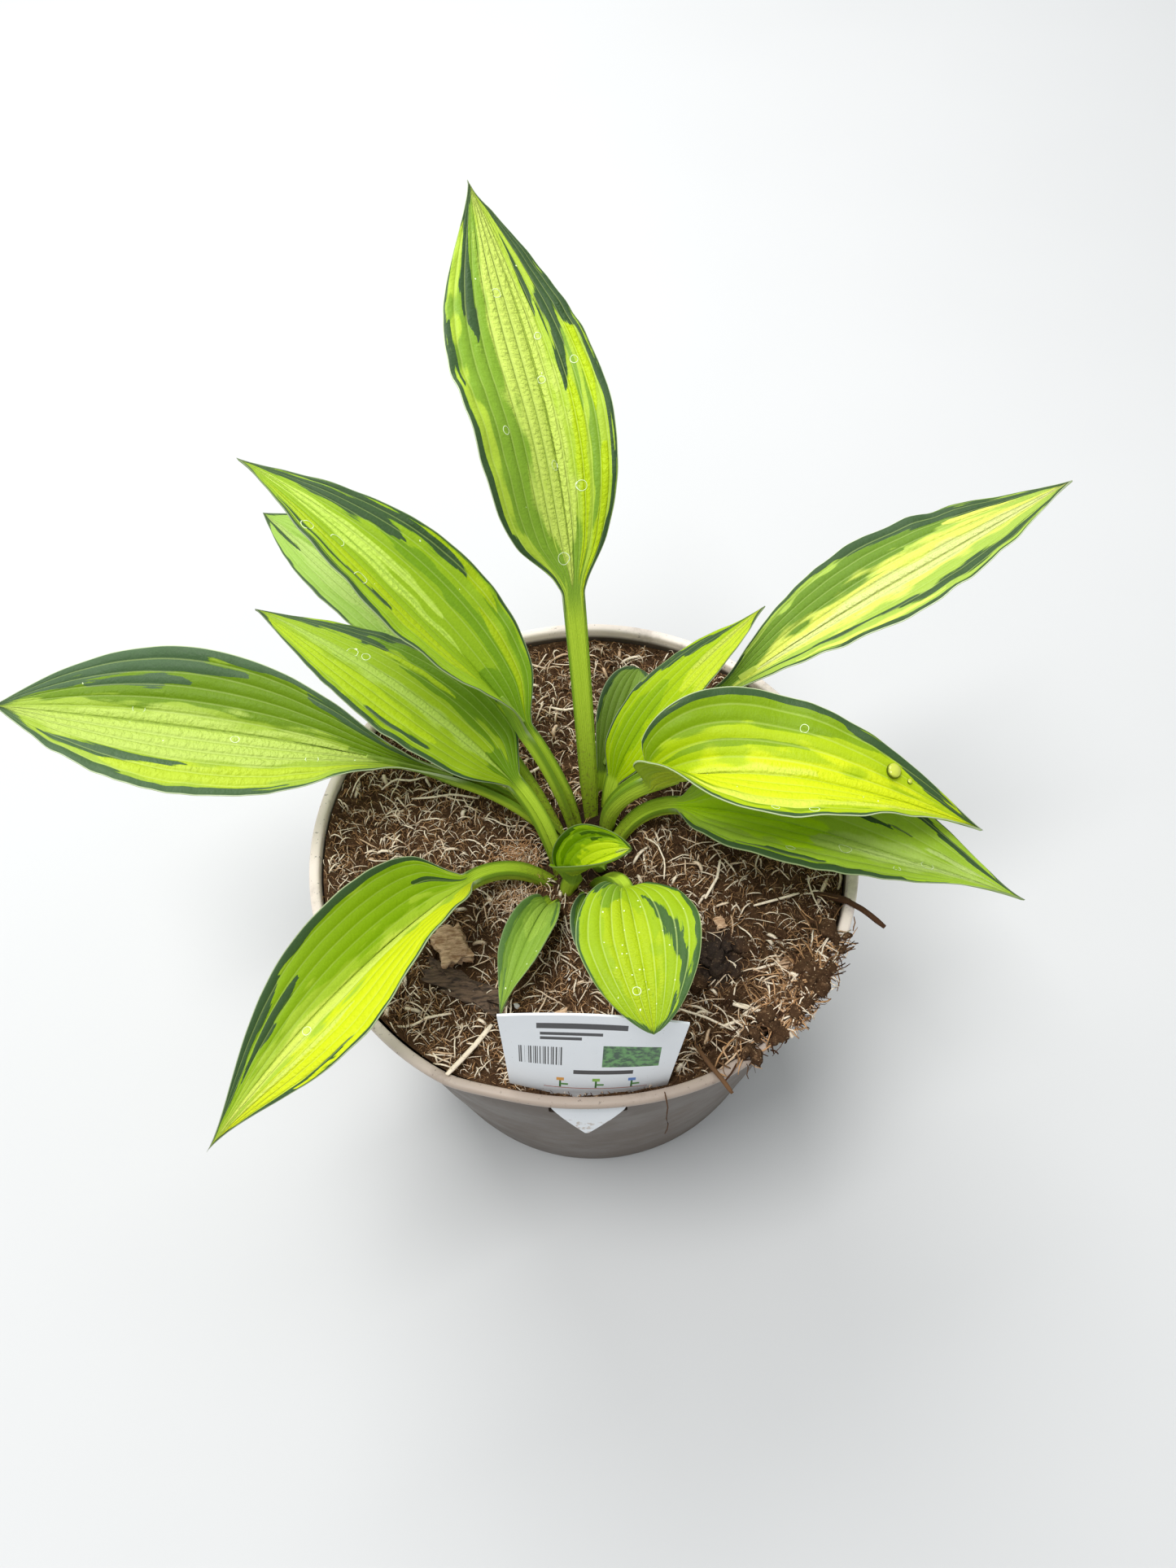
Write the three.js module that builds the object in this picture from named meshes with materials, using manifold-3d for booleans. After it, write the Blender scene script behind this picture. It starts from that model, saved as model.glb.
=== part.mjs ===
// A hosta in a round nursery pot: fifteen leaves from one short crown, potting soil and a plant label.
// Millimetres and degrees. +Z is up, the origin is the centre of the pot's foot, and the label faces -Y.
import * as THREE from 'three';
import { mergeVertices } from 'three/addons/utils/BufferGeometryUtils.js';
import Module from 'manifold-3d';

const wasm = await Module();
wasm.setup();

// ---------------------------------------------------------------- driving dimensions
const FIT_GAP = 0.3; // clearance between pieces that rest on each other
const SEGMENTS = 48; // sides of the round pot and soil

const POT = {
  height: 145, rimRadius: 95, mouthRadius: 91.3, wallTop: 92.6, baseRadius: 75.5,
  wall: 1.3, rimDrop: 2.6, rimPlate: 1.6, floor: 1.6,
  grooveInner: 50, grooveOuter: 66, grooveHeight: 2.2, drainHoles: 8, drainRadius: 5,
};
const SLOT = { x: -5.2, width: 27.5, bottom: 128.5, top: 137, depth: 12 };

const SOIL = {
  radius: 90.2, level: 138.4, roughness: 0.8, rings: [14, 27, 39, 50, 60, 69, 77, 84],
  heapHeight: 7.5, heapDirection: -46, heapRadius: 84, heapSpread: 15,
};
const STRAWS = { count: 24, length: [9, 22], radius: [0.55, 0.9], innerRadius: 33, outerRadius: 82 };

// The crown's growing points, each a stub of rhizome that leaves stand on, run into one another.
const CROWN = { top: 129.7, depth: 14, room: 0.9, mouth: 10 };
const GROWING_POINTS = [
  { x: 4, y: 11, radius: 14.5 },
  { x: 1.5, y: -3, radius: 9 },
  { x: -6.5, y: -12.5, radius: 11.5 },
];

const LEAF = {
  footHeight: 130, stalkHalfWidth: 3.2, footTaper: 0.65, taperLength: 20,
  stalkThickness: 3, edgeThickness: 0.9, bladeThickness: 0.8, midribDepth: 1.3, pleat: 0.4,
};

// Each leaf, from its foot to its tip. Lengths run along the midrib. Heading turns from +X towards +Y
// and is given at the foot, the blade's base and the tip. Lean is measured from upright, at the foot,
// the blade's base, its middle and its tip. Roll turns the blade about its midrib, at the base and tip.
// Taper is how slowly the outline opens at the base and closes at the tip. Fold is how far each half
// rises from flat beside the midrib, at the base, a third of the way and the tip. Curl is how much more
// it rises by the margin, at the base and tip. Skew makes the left half wider than the right.
const LEAVES = [
  { name: 'leaf_back', foot: [4, 12.2], stalk: 91.5, blade: 138.5, width: 55, neck: 8,
    heading: [89, 91, 111], lean: [14, 43, 64, 64], roll: [21, 12],
    taper: [1, 1.25], fold: [2, 38, 0], curl: [-16, -15], skew: 0.25 },
  { name: 'leaf_right_back', foot: [13.5, 18], stalk: 62, blade: 133.5, width: 44, neck: 7,
    heading: [37, 18, 21], lean: [30, 60, 73, 74], roll: [-10, -22],
    taper: [1.3, 1.2], fold: [34, 25, 10], curl: [-11, -11], skew: 0 },
  { name: 'leaf_right_inner', foot: [9.4, 14.8], stalk: 21, blade: 80.5, width: 22, neck: 7,
    heading: [76, 44, 20], lean: [18, 30, 57, 63], roll: [-6, -16],
    taper: [0.75, 1.05], fold: [32, 21, -1], curl: [-15, -19], skew: -0.05 },
  { name: 'leaf_back_small', foot: [7.2, 20], stalk: 16.5, blade: 39.5, width: 20, neck: 6,
    heading: [73, 67, 59], lean: [20, 42, 61, 79], roll: [1, 11],
    taper: [1.2, 0.55], fold: [33, 23, 17], curl: [-14, -6], skew: 0, small: true },
  { name: 'leaf_right_upper', foot: [9.2, 9.3], stalk: 42.5, blade: 113, width: 55, neck: 12,
    heading: [2, -12, -16], lean: [-6, 54, 98, 113], roll: [-14, -11],
    taper: [0.6, 1.3], fold: [79, 18, 39], curl: [3, 2], skew: 0 },
  { name: 'leaf_right_lower', foot: [10.2, 2.4], stalk: 35.5, blade: 117.5, width: 57, neck: 7,
    heading: [48, -24, -24], lean: [28, 68, 92, 99], roll: [-7, -14],
    taper: [0.75, 1.4], fold: [35, 26, 19], curl: [-3, 2], skew: 0.05 },
  { name: 'leaf_left_back', foot: [-1.2, 10.2], stalk: 50.5, blade: 132.5, width: 46, neck: 7,
    heading: [120, 140, 139], lean: [16, 38, 56, 91], roll: [24, 7],
    taper: [0.95, 1.45], fold: [58, 24, 21], curl: [4, -3], skew: 0 },
  { name: 'leaf_left_hidden', foot: [-6.6, 8], stalk: 66, blade: 119.5, width: 39, neck: 7,
    heading: [126, 126, 133], lean: [44, 70, 92, 101], roll: [-5, 0],
    taper: [0.9, 1.1], fold: [32, 31, 11], curl: [-8, -9], skew: 0 },
  { name: 'leaf_left_mid', foot: [-8.2, -7.8], stalk: 43, blade: 110.5, width: 42, neck: 7,
    heading: [101, 137, 150], lean: [25, 54, 78, 92], roll: [12, 22],
    taper: [0.7, 1.1], fold: [36, 16, 4], curl: [-17, -18], skew: 0.05 },
  { name: 'leaf_left', foot: [-3.1, 2.4], stalk: 53.5, blade: 149.5, width: 58, neck: 6,
    heading: [142, 169, 177], lean: [36, 69, 78, 74], roll: [-18, 7],
    taper: [1.65, 1.05], fold: [80, 19, 22], curl: [17, -4], skew: 0.1 },
  { name: 'leaf_front_left', foot: [-12.5, -11], stalk: 38.5, blade: 116.5, width: 51, neck: 7,
    heading: [153, 224, 231], lean: [37, 67, 84, 106], roll: [9, -23],
    taper: [0.85, 1.55], fold: [35, 54, 1], curl: [15, -10], skew: 0.05 },
  { name: 'leaf_unfurling', foot: [-7, -13.4], stalk: 15, blade: 30, width: 28, neck: 6,
    heading: [7, -10, -4], lean: [6, 21, 41, 62], roll: [-9, -1],
    taper: [0.7, 0.85], fold: [71, 38, 25], curl: [66, 21], skew: 0, small: true },
  { name: 'leaf_front_tiny', foot: [-1.1, -15.7], stalk: 15.5, blade: 31, width: 14, neck: 6,
    heading: [292, 275, 257], lean: [14, 41, 74, 96], roll: [-17, -1],
    taper: [1.05, 1.1], fold: [60, 23, 12], curl: [4, -10], skew: 0, small: true },
  { name: 'leaf_front_small', foot: [-11.7, -16.5], stalk: 18.5, blade: 48, width: 16, neck: 6,
    heading: [259, 247, 249], lean: [8, 45, 80, 99], roll: [-6, 13],
    taper: [0.75, 1.1], fold: [42, 35, 16], curl: [3, -5], skew: 0.05, small: true },
  { name: 'leaf_front_round', foot: [2.4, -10.3], stalk: 57.5, blade: 56.5, width: 35, neck: 5.5,
    heading: [309, 275, 273], lean: [18, 40, 75, 114], roll: [-13, 13],
    taper: [0.68, 0.77], fold: [22, 16, 10], curl: [-13, -11], skew: 0.04 },
];

const SHOOT = { x: 5, y: -4.5, baseRadius: 2.4, height: 16, bend: [1.2, -2.4] };

// The label is one curved card: a wide face above the rim, a neck and a pointed tongue that comes out
// through the slot in the wall. Heights are from the middle of the slot. Its path says how far in the
// card is at each height, and it's turned and tilted a little in the slot.
const LABEL = {
  x: -5.2, y: -90.6, slotHeight: 133, turn: -4.5, tilt: -4, thickness: 0.7,
  faceBottom: 8, faceTop: 55, bottomWidth: 49.5, topWidth: 53.5, neckWidth: 24,
  tonguePoint: -15, bendRadius: 88, topArch: 1.5, twist: 0.08,
  pathHeights: [-15, -4, 4, 8, 55], pathInward: [-1.2, -1.9, 2.0, 2.6, 13.7],
};

const COLOURS = {
  pot: [0x9b8b80, 0.6], soil: [0x4a3426, 0.95], crown: [0x7c6a4c, 0.8], shoot: [0x79a535, 0.5],
  leaf: [0x8fbf26, 0.42], young: [0x86b22f, 0.45], label: [0xeef0f2, 0.35],
};

// ---------------------------------------------------------------- small helpers
const radians = THREE.MathUtils.degToRad;
const clamp = THREE.MathUtils.clamp;
const mix = THREE.MathUtils.lerp;

function interpolate(value, stops, levels) {
  if (value <= stops[0]) return levels[0];
  for (let i = 1; i < stops.length; i += 1) {
    if (value <= stops[i]) return mix(levels[i - 1], levels[i], (value - stops[i - 1]) / (stops[i] - stops[i - 1]));
  }
  return levels[levels.length - 1];
}

function seededRandom(seed) {
  let state = seed;
  return () => {
    state = (Math.imul(state, 1664525) + 1013904223) >>> 0;
    return state / 4294967296;
  };
}

function geometryFrom(vertices, triangles) {
  const geometry = new THREE.BufferGeometry();
  geometry.setAttribute('position', new THREE.Float32BufferAttribute(vertices.flatMap((v) => v.toArray()), 3));
  geometry.setIndex(triangles.flat());
  return geometry;
}

function toSolid(geometry) {
  const bare = geometry.clone();
  bare.deleteAttribute('normal');
  bare.deleteAttribute('uv');
  const merged = mergeVertices(bare, 1e-4);
  return new wasm.Manifold(new wasm.Mesh({
    numProp: 3,
    vertProperties: new Float32Array(merged.attributes.position.array),
    triVerts: new Uint32Array(merged.index.array),
  }));
}

function fromSolid(solid) {
  const mesh = solid.getMesh();
  const geometry = new THREE.BufferGeometry();
  geometry.setAttribute('position', new THREE.BufferAttribute(new Float32Array(mesh.vertProperties), 3));
  geometry.setIndex(new THREE.BufferAttribute(new Uint32Array(mesh.triVerts), 1));
  return geometry;
}

// A solid of revolution about +Z, from a closed profile of [radius, height] points.
function turned(profile, segments) {
  const points = profile.map(([radius, height]) => new THREE.Vector2(radius, height));
  const geometry = new THREE.LatheGeometry(points, segments);
  geometry.rotateX(Math.PI / 2);
  return geometry;
}

function cylinderAt(x, y, bottom, top, radiusBottom, radiusTop, sides) {
  const geometry = new THREE.CylinderGeometry(radiusTop, radiusBottom, top - bottom, sides);
  geometry.rotateX(Math.PI / 2);
  geometry.translate(x, y, (bottom + top) / 2);
  return geometry;
}

const model = new THREE.Group();

function addPiece(name, geometry, [colour, roughness]) {
  geometry.computeVertexNormals();
  const material = new THREE.MeshStandardMaterial({ color: colour, roughness, metalness: 0 });
  const mesh = new THREE.Mesh(geometry, material);
  mesh.name = name;
  model.add(mesh);
}

// ---------------------------------------------------------------- pot
// A thin tapering wall under a flat rim with a short turned-down lip, and a floor whose foot ring and
// middle stand on the ground with a groove of drain holes between them.
function potGeometry() {
  const { height, rimRadius, mouthRadius, wallTop, baseRadius, wall, rimDrop, rimPlate, floor } = POT;
  const { grooveInner, grooveOuter, grooveHeight, drainHoles, drainRadius } = POT;
  const underRim = height - rimPlate;
  const lip = rimRadius - 1.2;
  const innerBase = baseRadius - wall - 0.2;
  const profile = [
    [0, 0], [grooveInner, 0], [grooveInner + 0.8, grooveHeight], [grooveOuter - 0.8, grooveHeight],
    [grooveOuter, 0], [baseRadius - 0.7, 0], [baseRadius, 0.7],
    [wallTop, underRim], [lip, underRim], [lip, height - rimDrop], [rimRadius, height - rimDrop],
    [rimRadius, height - 0.6], [rimRadius - 0.6, height], [mouthRadius + 0.4, height],
    [mouthRadius, height - 0.5], [innerBase, floor + 0.6], [innerBase - 0.6, floor],
    [grooveOuter - 0.4, floor], [grooveOuter - 1.2, floor + grooveHeight],
    [grooveInner + 1.2, floor + grooveHeight], [grooveInner + 0.4, floor], [0, floor],
  ];
  let pot = toSolid(turned(profile, SEGMENTS));
  const holeCentre = (grooveInner + grooveOuter) / 2;
  for (let i = 0; i < drainHoles; i += 1) {
    const angle = (2 * Math.PI * (i + 0.5)) / drainHoles;
    const [x, y] = [holeCentre * Math.cos(angle), holeCentre * Math.sin(angle)];
    pot = pot.subtract(toSolid(cylinderAt(x, y, -5, 10, drainRadius, drainRadius, 8)));
  }
  const cut = new THREE.BoxGeometry(SLOT.width, SLOT.depth, SLOT.top - SLOT.bottom);
  cut.translate(SLOT.x, -91, (SLOT.top + SLOT.bottom) / 2);
  return fromSolid(pot.subtract(toSolid(cut)));
}

// ---------------------------------------------------------------- soil
function soilHeight(x, y) {
  const ripple = 0.5 * Math.sin(0.11 * x + 0.6) + 0.4 * Math.sin(0.13 * y - 0.05 * x);
  const heap = new THREE.Vector2(SOIL.heapRadius, 0).rotateAround(new THREE.Vector2(), radians(SOIL.heapDirection));
  const away = Math.hypot(x - heap.x, y - heap.y) / SOIL.heapSpread;
  return SOIL.level + ripple + SOIL.heapHeight * Math.exp(-away * away);
}

// A closed body: a rough top, a wall just inside the pot and an underside that follows its floor.
function soilBody(random) {
  const { grooveInner, grooveOuter, grooveHeight, floor, baseRadius, wall, height, mouthRadius } = POT;
  const under = floor + FIT_GAP;
  const innerBase = baseRadius - wall - 0.2 - FIT_GAP - 0.2;
  const wallRadius = (z) => mix(innerBase, mouthRadius - 0.9, z / height);
  const rings = SOIL.rings.map((radius) => ({ radius, rough: true }));
  rings.push({ radius: wallRadius(SOIL.level), rough: true, edge: true });
  const lower = [
    [innerBase - 0.6, under + 0.8], [grooveOuter - 0.1, under], [grooveOuter - 0.9, under + grooveHeight],
    [grooveInner + 0.9, under + grooveHeight], [grooveInner + 0.1, under],
  ];
  lower.forEach(([radius, z]) => rings.push({ radius, z }));
  const vertices = [new THREE.Vector3(0, 0, soilHeight(0, 0))];
  const triangles = [];
  rings.forEach((ring) => {
    for (let i = 0; i < SEGMENTS; i += 1) {
      const angle = (2 * Math.PI * i) / SEGMENTS;
      const [x, y] = [ring.radius * Math.cos(angle), ring.radius * Math.sin(angle)];
      const bump = ring.edge ? 0 : SOIL.roughness * (2 * random() - 1);
      vertices.push(new THREE.Vector3(x, y, ring.rough ? soilHeight(x, y) + bump : ring.z));
    }
  });
  const at = (ring, i) => 1 + ring * SEGMENTS + (i % SEGMENTS);
  const last = vertices.push(new THREE.Vector3(0, 0, under)) - 1;
  for (let i = 0; i < SEGMENTS; i += 1) {
    triangles.push([0, at(0, i), at(0, i + 1)]);
    triangles.push([last, at(rings.length - 1, i + 1), at(rings.length - 1, i)]);
    for (let ring = 1; ring < rings.length; ring += 1) {
      triangles.push([at(ring - 1, i), at(ring, i), at(ring, i + 1)]);
      triangles.push([at(ring - 1, i), at(ring, i + 1), at(ring - 1, i + 1)]);
    }
  }
  return toSolid(geometryFrom(vertices, triangles));
}

// A straw is a three-sided stick along a path, fused into the soil at its buried ends.
function straw(points, radius) {
  const section = new THREE.Shape();
  [90, 210, 330].forEach((angle, i) => {
    const [x, y] = [radius * Math.cos(radians(angle)), radius * Math.sin(radians(angle))];
    if (i === 0) section.moveTo(x, y);
    else section.lineTo(x, y);
  });
  const path = new THREE.CatmullRomCurve3(points);
  return toSolid(new THREE.ExtrudeGeometry(section, { steps: 3, bevelEnabled: false, extrudePath: path }));
}

function nearCrown(x, y, margin) {
  return GROWING_POINTS.some((point) => Math.hypot(x - point.x, y - point.y) < point.radius + margin);
}

function scatteredStraws(random) {
  const solids = [];
  while (solids.length < STRAWS.count) {
    const angle = 2 * Math.PI * random();
    const radius = mix(STRAWS.innerRadius, STRAWS.outerRadius, Math.sqrt(random()));
    const length = mix(STRAWS.length[0], STRAWS.length[1], random());
    const turn = 2 * Math.PI * random();
    const thick = mix(STRAWS.radius[0], STRAWS.radius[1], random());
    const [x, y] = [radius * Math.cos(angle), radius * Math.sin(angle)];
    const reach = [(length / 2) * Math.cos(turn), (length / 2) * Math.sin(turn)];
    const points = [-1, 0, 1].map((end) => {
      const [px, py] = [x + end * reach[0], y + end * reach[1]];
      return new THREE.Vector3(px, py, soilHeight(px, py) + (end === 0 ? 1.1 : -1.6));
    });
    const fits = points.every((p) => Math.hypot(p.x, p.y) < 86 && !nearCrown(p.x, p.y, 9));
    const clearOfLabel = points.every((p) => Math.abs(p.x - LABEL.x) > 32 || p.y > -78);
    if (fits && clearOfLabel) solids.push(straw(points, thick));
  }
  return solids;
}

// Three long pieces that lie over the rim: a pale straw, a strip of bark and a dark twig.
function rimStraws() {
  const routes = [
    [[-35, -62, 137], [-42, -72, 147], [-50, -82, 147]],
    [[40, -64, 136], [49, -73, 149], [58, -82, 147.5]],
    [[76, -24, 137], [83, -30, 147.5], [97, -42, 147.8]],
  ];
  const thickness = [1.0, 1.1, 1.3];
  return routes.map((route, i) => straw(route.map((p) => new THREE.Vector3(...p)), thickness[i]));
}

// A loose chip of bark half buried in the surface.
function barkChip() {
  const chip = new THREE.IcosahedronGeometry(6, 0);
  chip.scale(0.75, 1, 0.55);
  chip.rotateZ(radians(-20));
  chip.translate(-46.7, -33.5, SOIL.level + 1);
  return toSolid(chip);
}

function soilGeometry() {
  const random = seededRandom(7);
  let soil = soilBody(random);
  [...scatteredStraws(random), ...rimStraws(), barkChip()].forEach((piece) => {
    soil = soil.add(piece);
  });
  GROWING_POINTS.forEach(({ x, y, radius }) => {
    const bottom = CROWN.top - CROWN.depth - FIT_GAP;
    const pocket = cylinderAt(x, y, bottom, SOIL.level + 6, radius + CROWN.room, radius + CROWN.mouth, 16);
    soil = soil.subtract(toSolid(pocket));
  });
  const neckGap = new THREE.BoxGeometry(LABEL.neckWidth + 4, 9, 30);
  neckGap.translate(LABEL.x, -89, SLOT.bottom + 14);
  const faceGap = new THREE.BoxGeometry(LABEL.bottomWidth + 9, 12, 30);
  faceGap.translate(LABEL.x, -87, SOIL.level + 14.6);
  return fromSolid(soil.subtract(toSolid(neckGap)).subtract(toSolid(faceGap)));
}

// ---------------------------------------------------------------- crown and shoot
function crownGeometry() {
  const stubs = GROWING_POINTS.map(({ x, y, radius }) => {
    const half = CROWN.depth / 2;
    const bulge = cylinderAt(x, y, CROWN.top - half, CROWN.top, radius, radius - 0.6, 16);
    const root = cylinderAt(x, y, CROWN.top - CROWN.depth, CROWN.top - half, radius * 0.6, radius, 16);
    return toSolid(bulge).add(toSolid(root));
  });
  return fromSolid(stubs.reduce((whole, stub) => whole.add(stub)));
}

function shootGeometry() {
  const geometry = new THREE.ConeGeometry(SHOOT.baseRadius, SHOOT.height, 8, 4);
  geometry.rotateX(Math.PI / 2);
  geometry.translate(0, 0, SHOOT.height / 2);
  const position = geometry.attributes.position;
  for (let i = 0; i < position.count; i += 1) {
    const rise = position.getZ(i) / SHOOT.height;
    position.setX(i, position.getX(i) + SHOOT.bend[0] * rise * rise);
    position.setY(i, position.getY(i) + SHOOT.bend[1] * rise * rise);
  }
  geometry.translate(SHOOT.x, SHOOT.y, LEAF.footHeight);
  return geometry;
}

// ---------------------------------------------------------------- leaves
// Where the midrib is after each length, and the leaf's own directions there.
function midribFrames(leaf, lengths) {
  const whole = leaf.stalk + leaf.blade;
  const headingStops = [0, leaf.stalk, whole];
  const leanStops = [0, leaf.stalk, leaf.stalk + leaf.blade / 2, whole];
  const direction = (length) => {
    const heading = radians(interpolate(length, headingStops, leaf.heading));
    const lean = radians(interpolate(length, leanStops, leaf.lean));
    const forward = new THREE.Vector3(
      Math.sin(lean) * Math.cos(heading), Math.sin(lean) * Math.sin(heading), Math.cos(lean),
    );
    return { heading, forward };
  };
  const point = new THREE.Vector3(leaf.foot[0], leaf.foot[1], LEAF.footHeight);
  const step = 0.5;
  let travelled = 0;
  return lengths.map((length) => {
    while (travelled < length - 1e-9) {
      const move = Math.min(step, length - travelled);
      point.addScaledVector(direction(travelled + move / 2).forward, move);
      travelled += move;
    }
    const { heading, forward } = direction(length);
    const atFoot = length === 0;
    const tangent = atFoot ? new THREE.Vector3(0, 0, 1) : forward;
    const left = new THREE.Vector3(-Math.sin(heading), Math.cos(heading), 0);
    const up = new THREE.Vector3().crossVectors(tangent, left);
    const roll = interpolate(length, headingStops, [leaf.roll[0] / 2, leaf.roll[0], leaf.roll[1]]);
    left.applyAxisAngle(tangent, radians(roll));
    up.applyAxisAngle(tangent, radians(roll));
    return { point: point.clone(), left, up };
  });
}

function halfWidth(leaf, length, side) {
  const t = (length - leaf.stalk) / leaf.blade;
  const neck = leaf.neck / 2;
  if (t < 0) {
    const along = length / leaf.stalk;
    const taper = mix(LEAF.footTaper, 1, clamp(length / Math.min(LEAF.taperLength, leaf.stalk), 0, 1));
    return mix(LEAF.stalkHalfWidth, neck, along * along) * taper;
  }
  const [open, close] = leaf.taper;
  const widest = open / (open + close);
  const outline = (t ** open * (1 - t) ** close) / (widest ** open * (1 - widest) ** close);
  return (leaf.width / 2) * outline * (1 + side * leaf.skew) + neck * (1 - t) ** 3;
}

// The offset of the upper face from the midrib, a share of the way to the margin, and its normal.
function crossSection(leaf, t, width, share) {
  const fold = radians(interpolate(t, [0, 0.3, 1], leaf.fold));
  const curl = radians(mix(leaf.curl[0], leaf.curl[1], t));
  const steps = 8;
  let [out, rise] = [0, 0];
  for (let i = 0; i < steps; i += 1) {
    const angle = fold + (curl * share * (i + 0.5)) / steps;
    out += (Math.cos(angle) * share * width) / steps;
    rise += (Math.sin(angle) * share * width) / steps;
  }
  return { out, rise, slope: share === 0 ? 0 : fold + curl * share };
}

function leafGeometry(leaf) {
  const stalkStations = leaf.small ? [0, 0.3, 0.65] : [0, 0.13, 0.32, 0.52, 0.72, 0.88];
  const bladeStations = leaf.small
    ? [0, 0.06, 0.16, 0.3, 0.46, 0.62, 0.78, 0.91, 1]
    : [0, 0.03, 0.08, 0.15, 0.24, 0.34, 0.45, 0.56, 0.67, 0.78, 0.88, 0.955, 1];
  const lengths = [...stalkStations.map((s) => s * leaf.stalk), ...bladeStations.map((t) => leaf.stalk + t * leaf.blade)];
  const panels = leaf.small ? 4 : 6;
  const frames = midribFrames(leaf, lengths);
  const vertices = [];
  const columns = 2 * panels + 1;
  frames.slice(0, -1).forEach((frame, i) => {
    const t = clamp((lengths[i] - leaf.stalk) / leaf.blade, 0, 1);
    const bladeness = clamp(t / 0.12, 0, 1);
    for (let column = 0; column < columns; column += 1) {
      const across = (panels - column) / panels;
      const side = Math.sign(across);
      const share = Math.abs(across);
      const width = halfWidth(leaf, lengths[i], side);
      const { out, rise, slope } = crossSection(leaf, t, width, share);
      const crest = (Math.abs(panels - column) % 2 ? 1 : -1) * (share === 1 ? 0 : 1);
      const pleat = LEAF.pleat * crest * bladeness * (1 - t) * Math.min(1, width / 12);
      const normal = frame.up.clone().multiplyScalar(Math.cos(slope));
      normal.addScaledVector(frame.left, -side * Math.sin(slope));
      const top = frame.point.clone().addScaledVector(frame.left, side * out).addScaledVector(frame.up, rise);
      top.addScaledVector(normal, pleat);
      const stalkDepth = mix(LEAF.stalkThickness, LEAF.edgeThickness, share * share);
      const keel = LEAF.midribDepth * Math.max(0, 1 - share * 6) * (1 - t);
      const depth = mix(stalkDepth, LEAF.bladeThickness + keel, bladeness);
      vertices.push(top, top.clone().addScaledVector(normal, -depth));
    }
  });
  const tip = frames[frames.length - 1];
  const tipTop = vertices.push(tip.point.clone()) - 1;
  const tipUnder = vertices.push(tip.point.clone().addScaledVector(tip.up, -LEAF.bladeThickness)) - 1;

  const top = (i, column) => 2 * (i * columns + column);
  const under = (i, column) => top(i, column) + 1;
  const triangles = [];
  const quad = (a, b, c, d) => triangles.push([a, b, c], [a, c, d]);
  const lastRow = frames.length - 2;
  for (let column = 0; column < columns - 1; column += 1) {
    for (let i = 0; i < lastRow; i += 1) {
      quad(top(i, column), top(i, column + 1), top(i + 1, column + 1), top(i + 1, column));
      triangles.push([under(i, column), under(i + 1, column + 1), under(i, column + 1)]);
      triangles.push([under(i, column), under(i + 1, column), under(i + 1, column + 1)]);
    }
    triangles.push([top(lastRow, column), top(lastRow, column + 1), tipTop]);
    triangles.push([under(lastRow, column + 1), under(lastRow, column), tipUnder]);
    quad(top(0, column), under(0, column), under(0, column + 1), top(0, column + 1));
  }
  const right = columns - 1;
  for (let i = 0; i < lastRow; i += 1) {
    quad(top(i, 0), top(i + 1, 0), under(i + 1, 0), under(i, 0));
    quad(top(i + 1, right), top(i, right), under(i, right), under(i + 1, right));
  }
  quad(top(lastRow, 0), tipTop, tipUnder, under(lastRow, 0));
  quad(tipTop, top(lastRow, right), under(lastRow, right), tipUnder);
  return geometryFrom(vertices, triangles);
}

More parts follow.
